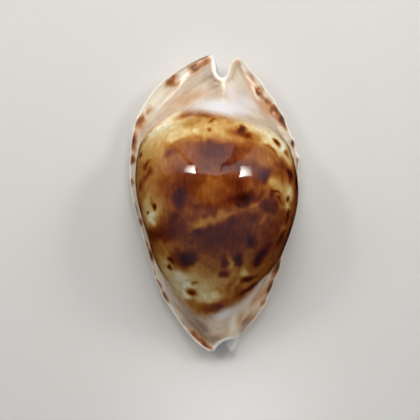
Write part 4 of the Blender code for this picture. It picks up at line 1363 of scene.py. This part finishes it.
def add_fill(name, bearing, height, distance, size, power):
    """A square lamp without reflections of its own, which looks at the shell's front end."""
    light = bpy.data.lights.new(name, "AREA")
    light.size = size
    light.energy = power
    lamp = bpy.data.objects.new(name, light)
    towards = way(bearing, height)
    lamp.location = Vector(FRONT_END) + towards * distance
    lamp.rotation_mode = "QUATERNION"
    lamp.rotation_quaternion = towards.to_track_quat("Z", "Y")
    lamp.visible_camera = False
    lamp.visible_glossy = False
    bpy.context.scene.collection.objects.link(lamp)


def glow_material():
    """Light from the front of a panel only, as strong as its radiance field says."""
    material = bpy.data.materials.new("panel")
    material.use_nodes = True
    material.node_tree.nodes.clear()
    nodes = Nodes(material.node_tree)
    back = nodes.add("ShaderNodeNewGeometry").outputs["Backfacing"]
    strength = nodes.math("MULTIPLY", nodes.field("radiance"), nodes.math("SUBTRACT", 1.0, back))
    glow = nodes.add("ShaderNodeEmission", {"Color": GLOW_TINT, "Strength": strength})
    nodes.add("ShaderNodeOutputMaterial", {"Surface": glow.outputs[0]})
    return material


def studio_world(plain, front, rear):
    """Light from all round: dim behind the shell, brighter in front, none from below or from a hole overhead
    where the camera hangs. The camera itself sees a plain backdrop."""
    world = bpy.data.worlds.new("studio")
    world.use_nodes = True
    world.node_tree.nodes.clear()
    nodes = Nodes(world.node_tree)
    direction = nodes.add("ShaderNodeTexCoord").outputs["Generated"]
    x, y, z = nodes.add("ShaderNodeSeparateXYZ", {"Vector": direction}).outputs
    across = nodes.math("DIVIDE", nodes.math("SUBTRACT", x, HOLE_MIDDLE), HOLE_ACROSS)
    along = nodes.math("DIVIDE", y, HOLE_ALONG)
    reach = nodes.math("ADD", nodes.math("POWER", across, 2.0), nodes.math("POWER", along, 2.0))
    hole = nodes.math("MAXIMUM", nodes.span(reach, HOLE_BORDER), nodes.span(z, HOLE_HEIGHT))
    side = nodes.span(y, (*FRONT_TO_REAR, front, rear))
    strength = nodes.math("MULTIPLY", nodes.math("MULTIPLY", side, nodes.span(z, BELOW_TO_ABOVE)), hole)
    eye = nodes.add("ShaderNodeLightPath").outputs["Is Camera Ray"]
    seen = nodes.add("ShaderNodeMix", {0: eye, 2: strength, 3: plain}, data_type="FLOAT")
    light = nodes.add("ShaderNodeBackground", {"Color": SKY_TINT, "Strength": seen.outputs[0]})
    nodes.add("ShaderNodeOutputWorld", {"Surface": light.outputs[0]})
    return world


def floor_material(plain, radius):
    """Matt floor with faint clouds, which fades out before its edge."""
    material = bpy.data.materials.new("floor")
    material.use_nodes = True
    nodes = Nodes(material.node_tree)
    shader = material.node_tree.nodes["Principled BSDF"]
    place = nodes.add("ShaderNodeTexCoord").outputs["Object"]
    darker = tuple(CLOUD_SHARE * c for c in plain)
    colour = nodes.mix(nodes.noise(place, *CLOUDS), (*plain, 1.0), (*darker, 1.0))
    nodes.feed(shader, {"Base Color": colour, "Roughness": FLOOR_ROUGHNESS})
    away = nodes.add("ShaderNodeVectorMath", {0: place}, operation="LENGTH").outputs["Value"]
    fade = nodes.span(away, [share * radius for share in FLOOR_FADE])
    clear = nodes.add("ShaderNodeBsdfTransparent")
    blend = nodes.add("ShaderNodeMixShader", {0: fade, 1: shader.outputs[0], 2: clear.outputs[0]})
    nodes.feed(material.node_tree.nodes["Material Output"], {"Surface": blend.outputs[0]})
    return material


def add_camera(height, picture_width):
    """The camera straight above the shell."""
    camera = bpy.data.objects.new("camera", bpy.data.cameras.new("camera"))
    bpy.context.scene.collection.objects.link(camera)
    camera.data.sensor_width = SENSOR_WIDTH
    camera.data.lens = SENSOR_WIDTH * (height - MARGIN_LEVEL) / picture_width
    camera.data.clip_start = CLIP_START
    camera.location = (*CAMERA_PLACE, height)
    bpy.context.scene.camera = camera


class COWRIE_OT_stage(bpy.types.Operator):
    """Lay the floor, hang the lights and set up the camera"""

    bl_idname = "cowrie.stage"
    bl_label = "Set stage"

    def execute(self, context):
        scene = context.scene
        settings = scene.cowrie_stage
        radius = settings.floor_radius
        bpy.ops.mesh.primitive_circle_add(vertices=FLOOR_CORNERS, radius=radius, fill_type="NGON")
        floor = context.object
        floor.name = "floor"
        floor.data.materials.append(floor_material(settings.floor_colour, radius))
        floor.visible_glossy = False
        glow = glow_material()
        for name, levels in SOFT_PANELS.items():
            rows = soft_rows(levels, settings.panel_strength, PANEL_FADES[name])
            add_panel("panel_" + name, rows, settings.panel_distance, glow)
        for name, corners in LAMPS.items():
            rows = lamp_rows(corners, settings.lamp_inner, settings.lamp_outer)
            add_panel("lamp_" + name, rows, settings.panel_distance * LAMP_SHARE, glow)
        for fill in FILLS:
            add_fill(*fill)
        scene.world = studio_world(settings.backdrop, settings.front_light, settings.rear_light)
        add_camera(settings.camera_height, settings.picture_width)
        scene.view_settings.view_transform = "Standard"
        return {"FINISHED"}


class COWRIE_PT_panel(bpy.types.Panel):
    """Sizes, finish and steps of the cowrie"""

    bl_label = "Cowrie"
    bl_idname = "COWRIE_PT_panel"
    bl_space_type = "VIEW_3D"
    bl_region_type = "UI"
    bl_category = "Cowrie"

    def draw(self, context):
        layout = self.layout
        for group, operator in (("cowrie_shell", "cowrie.shell"), ("cowrie_stage", "cowrie.stage")):
            settings = getattr(context.scene, group)
            column = layout.column(align=True)
            for name in settings.__annotations__:
                column.prop(settings, name)
            column.operator(operator)


CLASSES = (CowrieShell, CowrieStage, COWRIE_OT_shell, COWRIE_OT_stage, COWRIE_PT_panel)


def register():
    """Add the classes and the settings of the scene."""
    for cls in CLASSES:
        bpy.utils.register_class(cls)
    bpy.types.Scene.cowrie_shell = bpy.props.PointerProperty(type=CowrieShell)
    bpy.types.Scene.cowrie_stage = bpy.props.PointerProperty(type=CowrieStage)


def unregister():
    """Take them out again."""
    del bpy.types.Scene.cowrie_shell
    del bpy.types.Scene.cowrie_stage
    for cls in reversed(CLASSES):
        bpy.utils.unregister_class(cls)


def main():
    """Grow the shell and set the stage."""
    register()
    bpy.ops.cowrie.shell()
    bpy.ops.cowrie.stage()


if __name__ == "__main__":
    main()
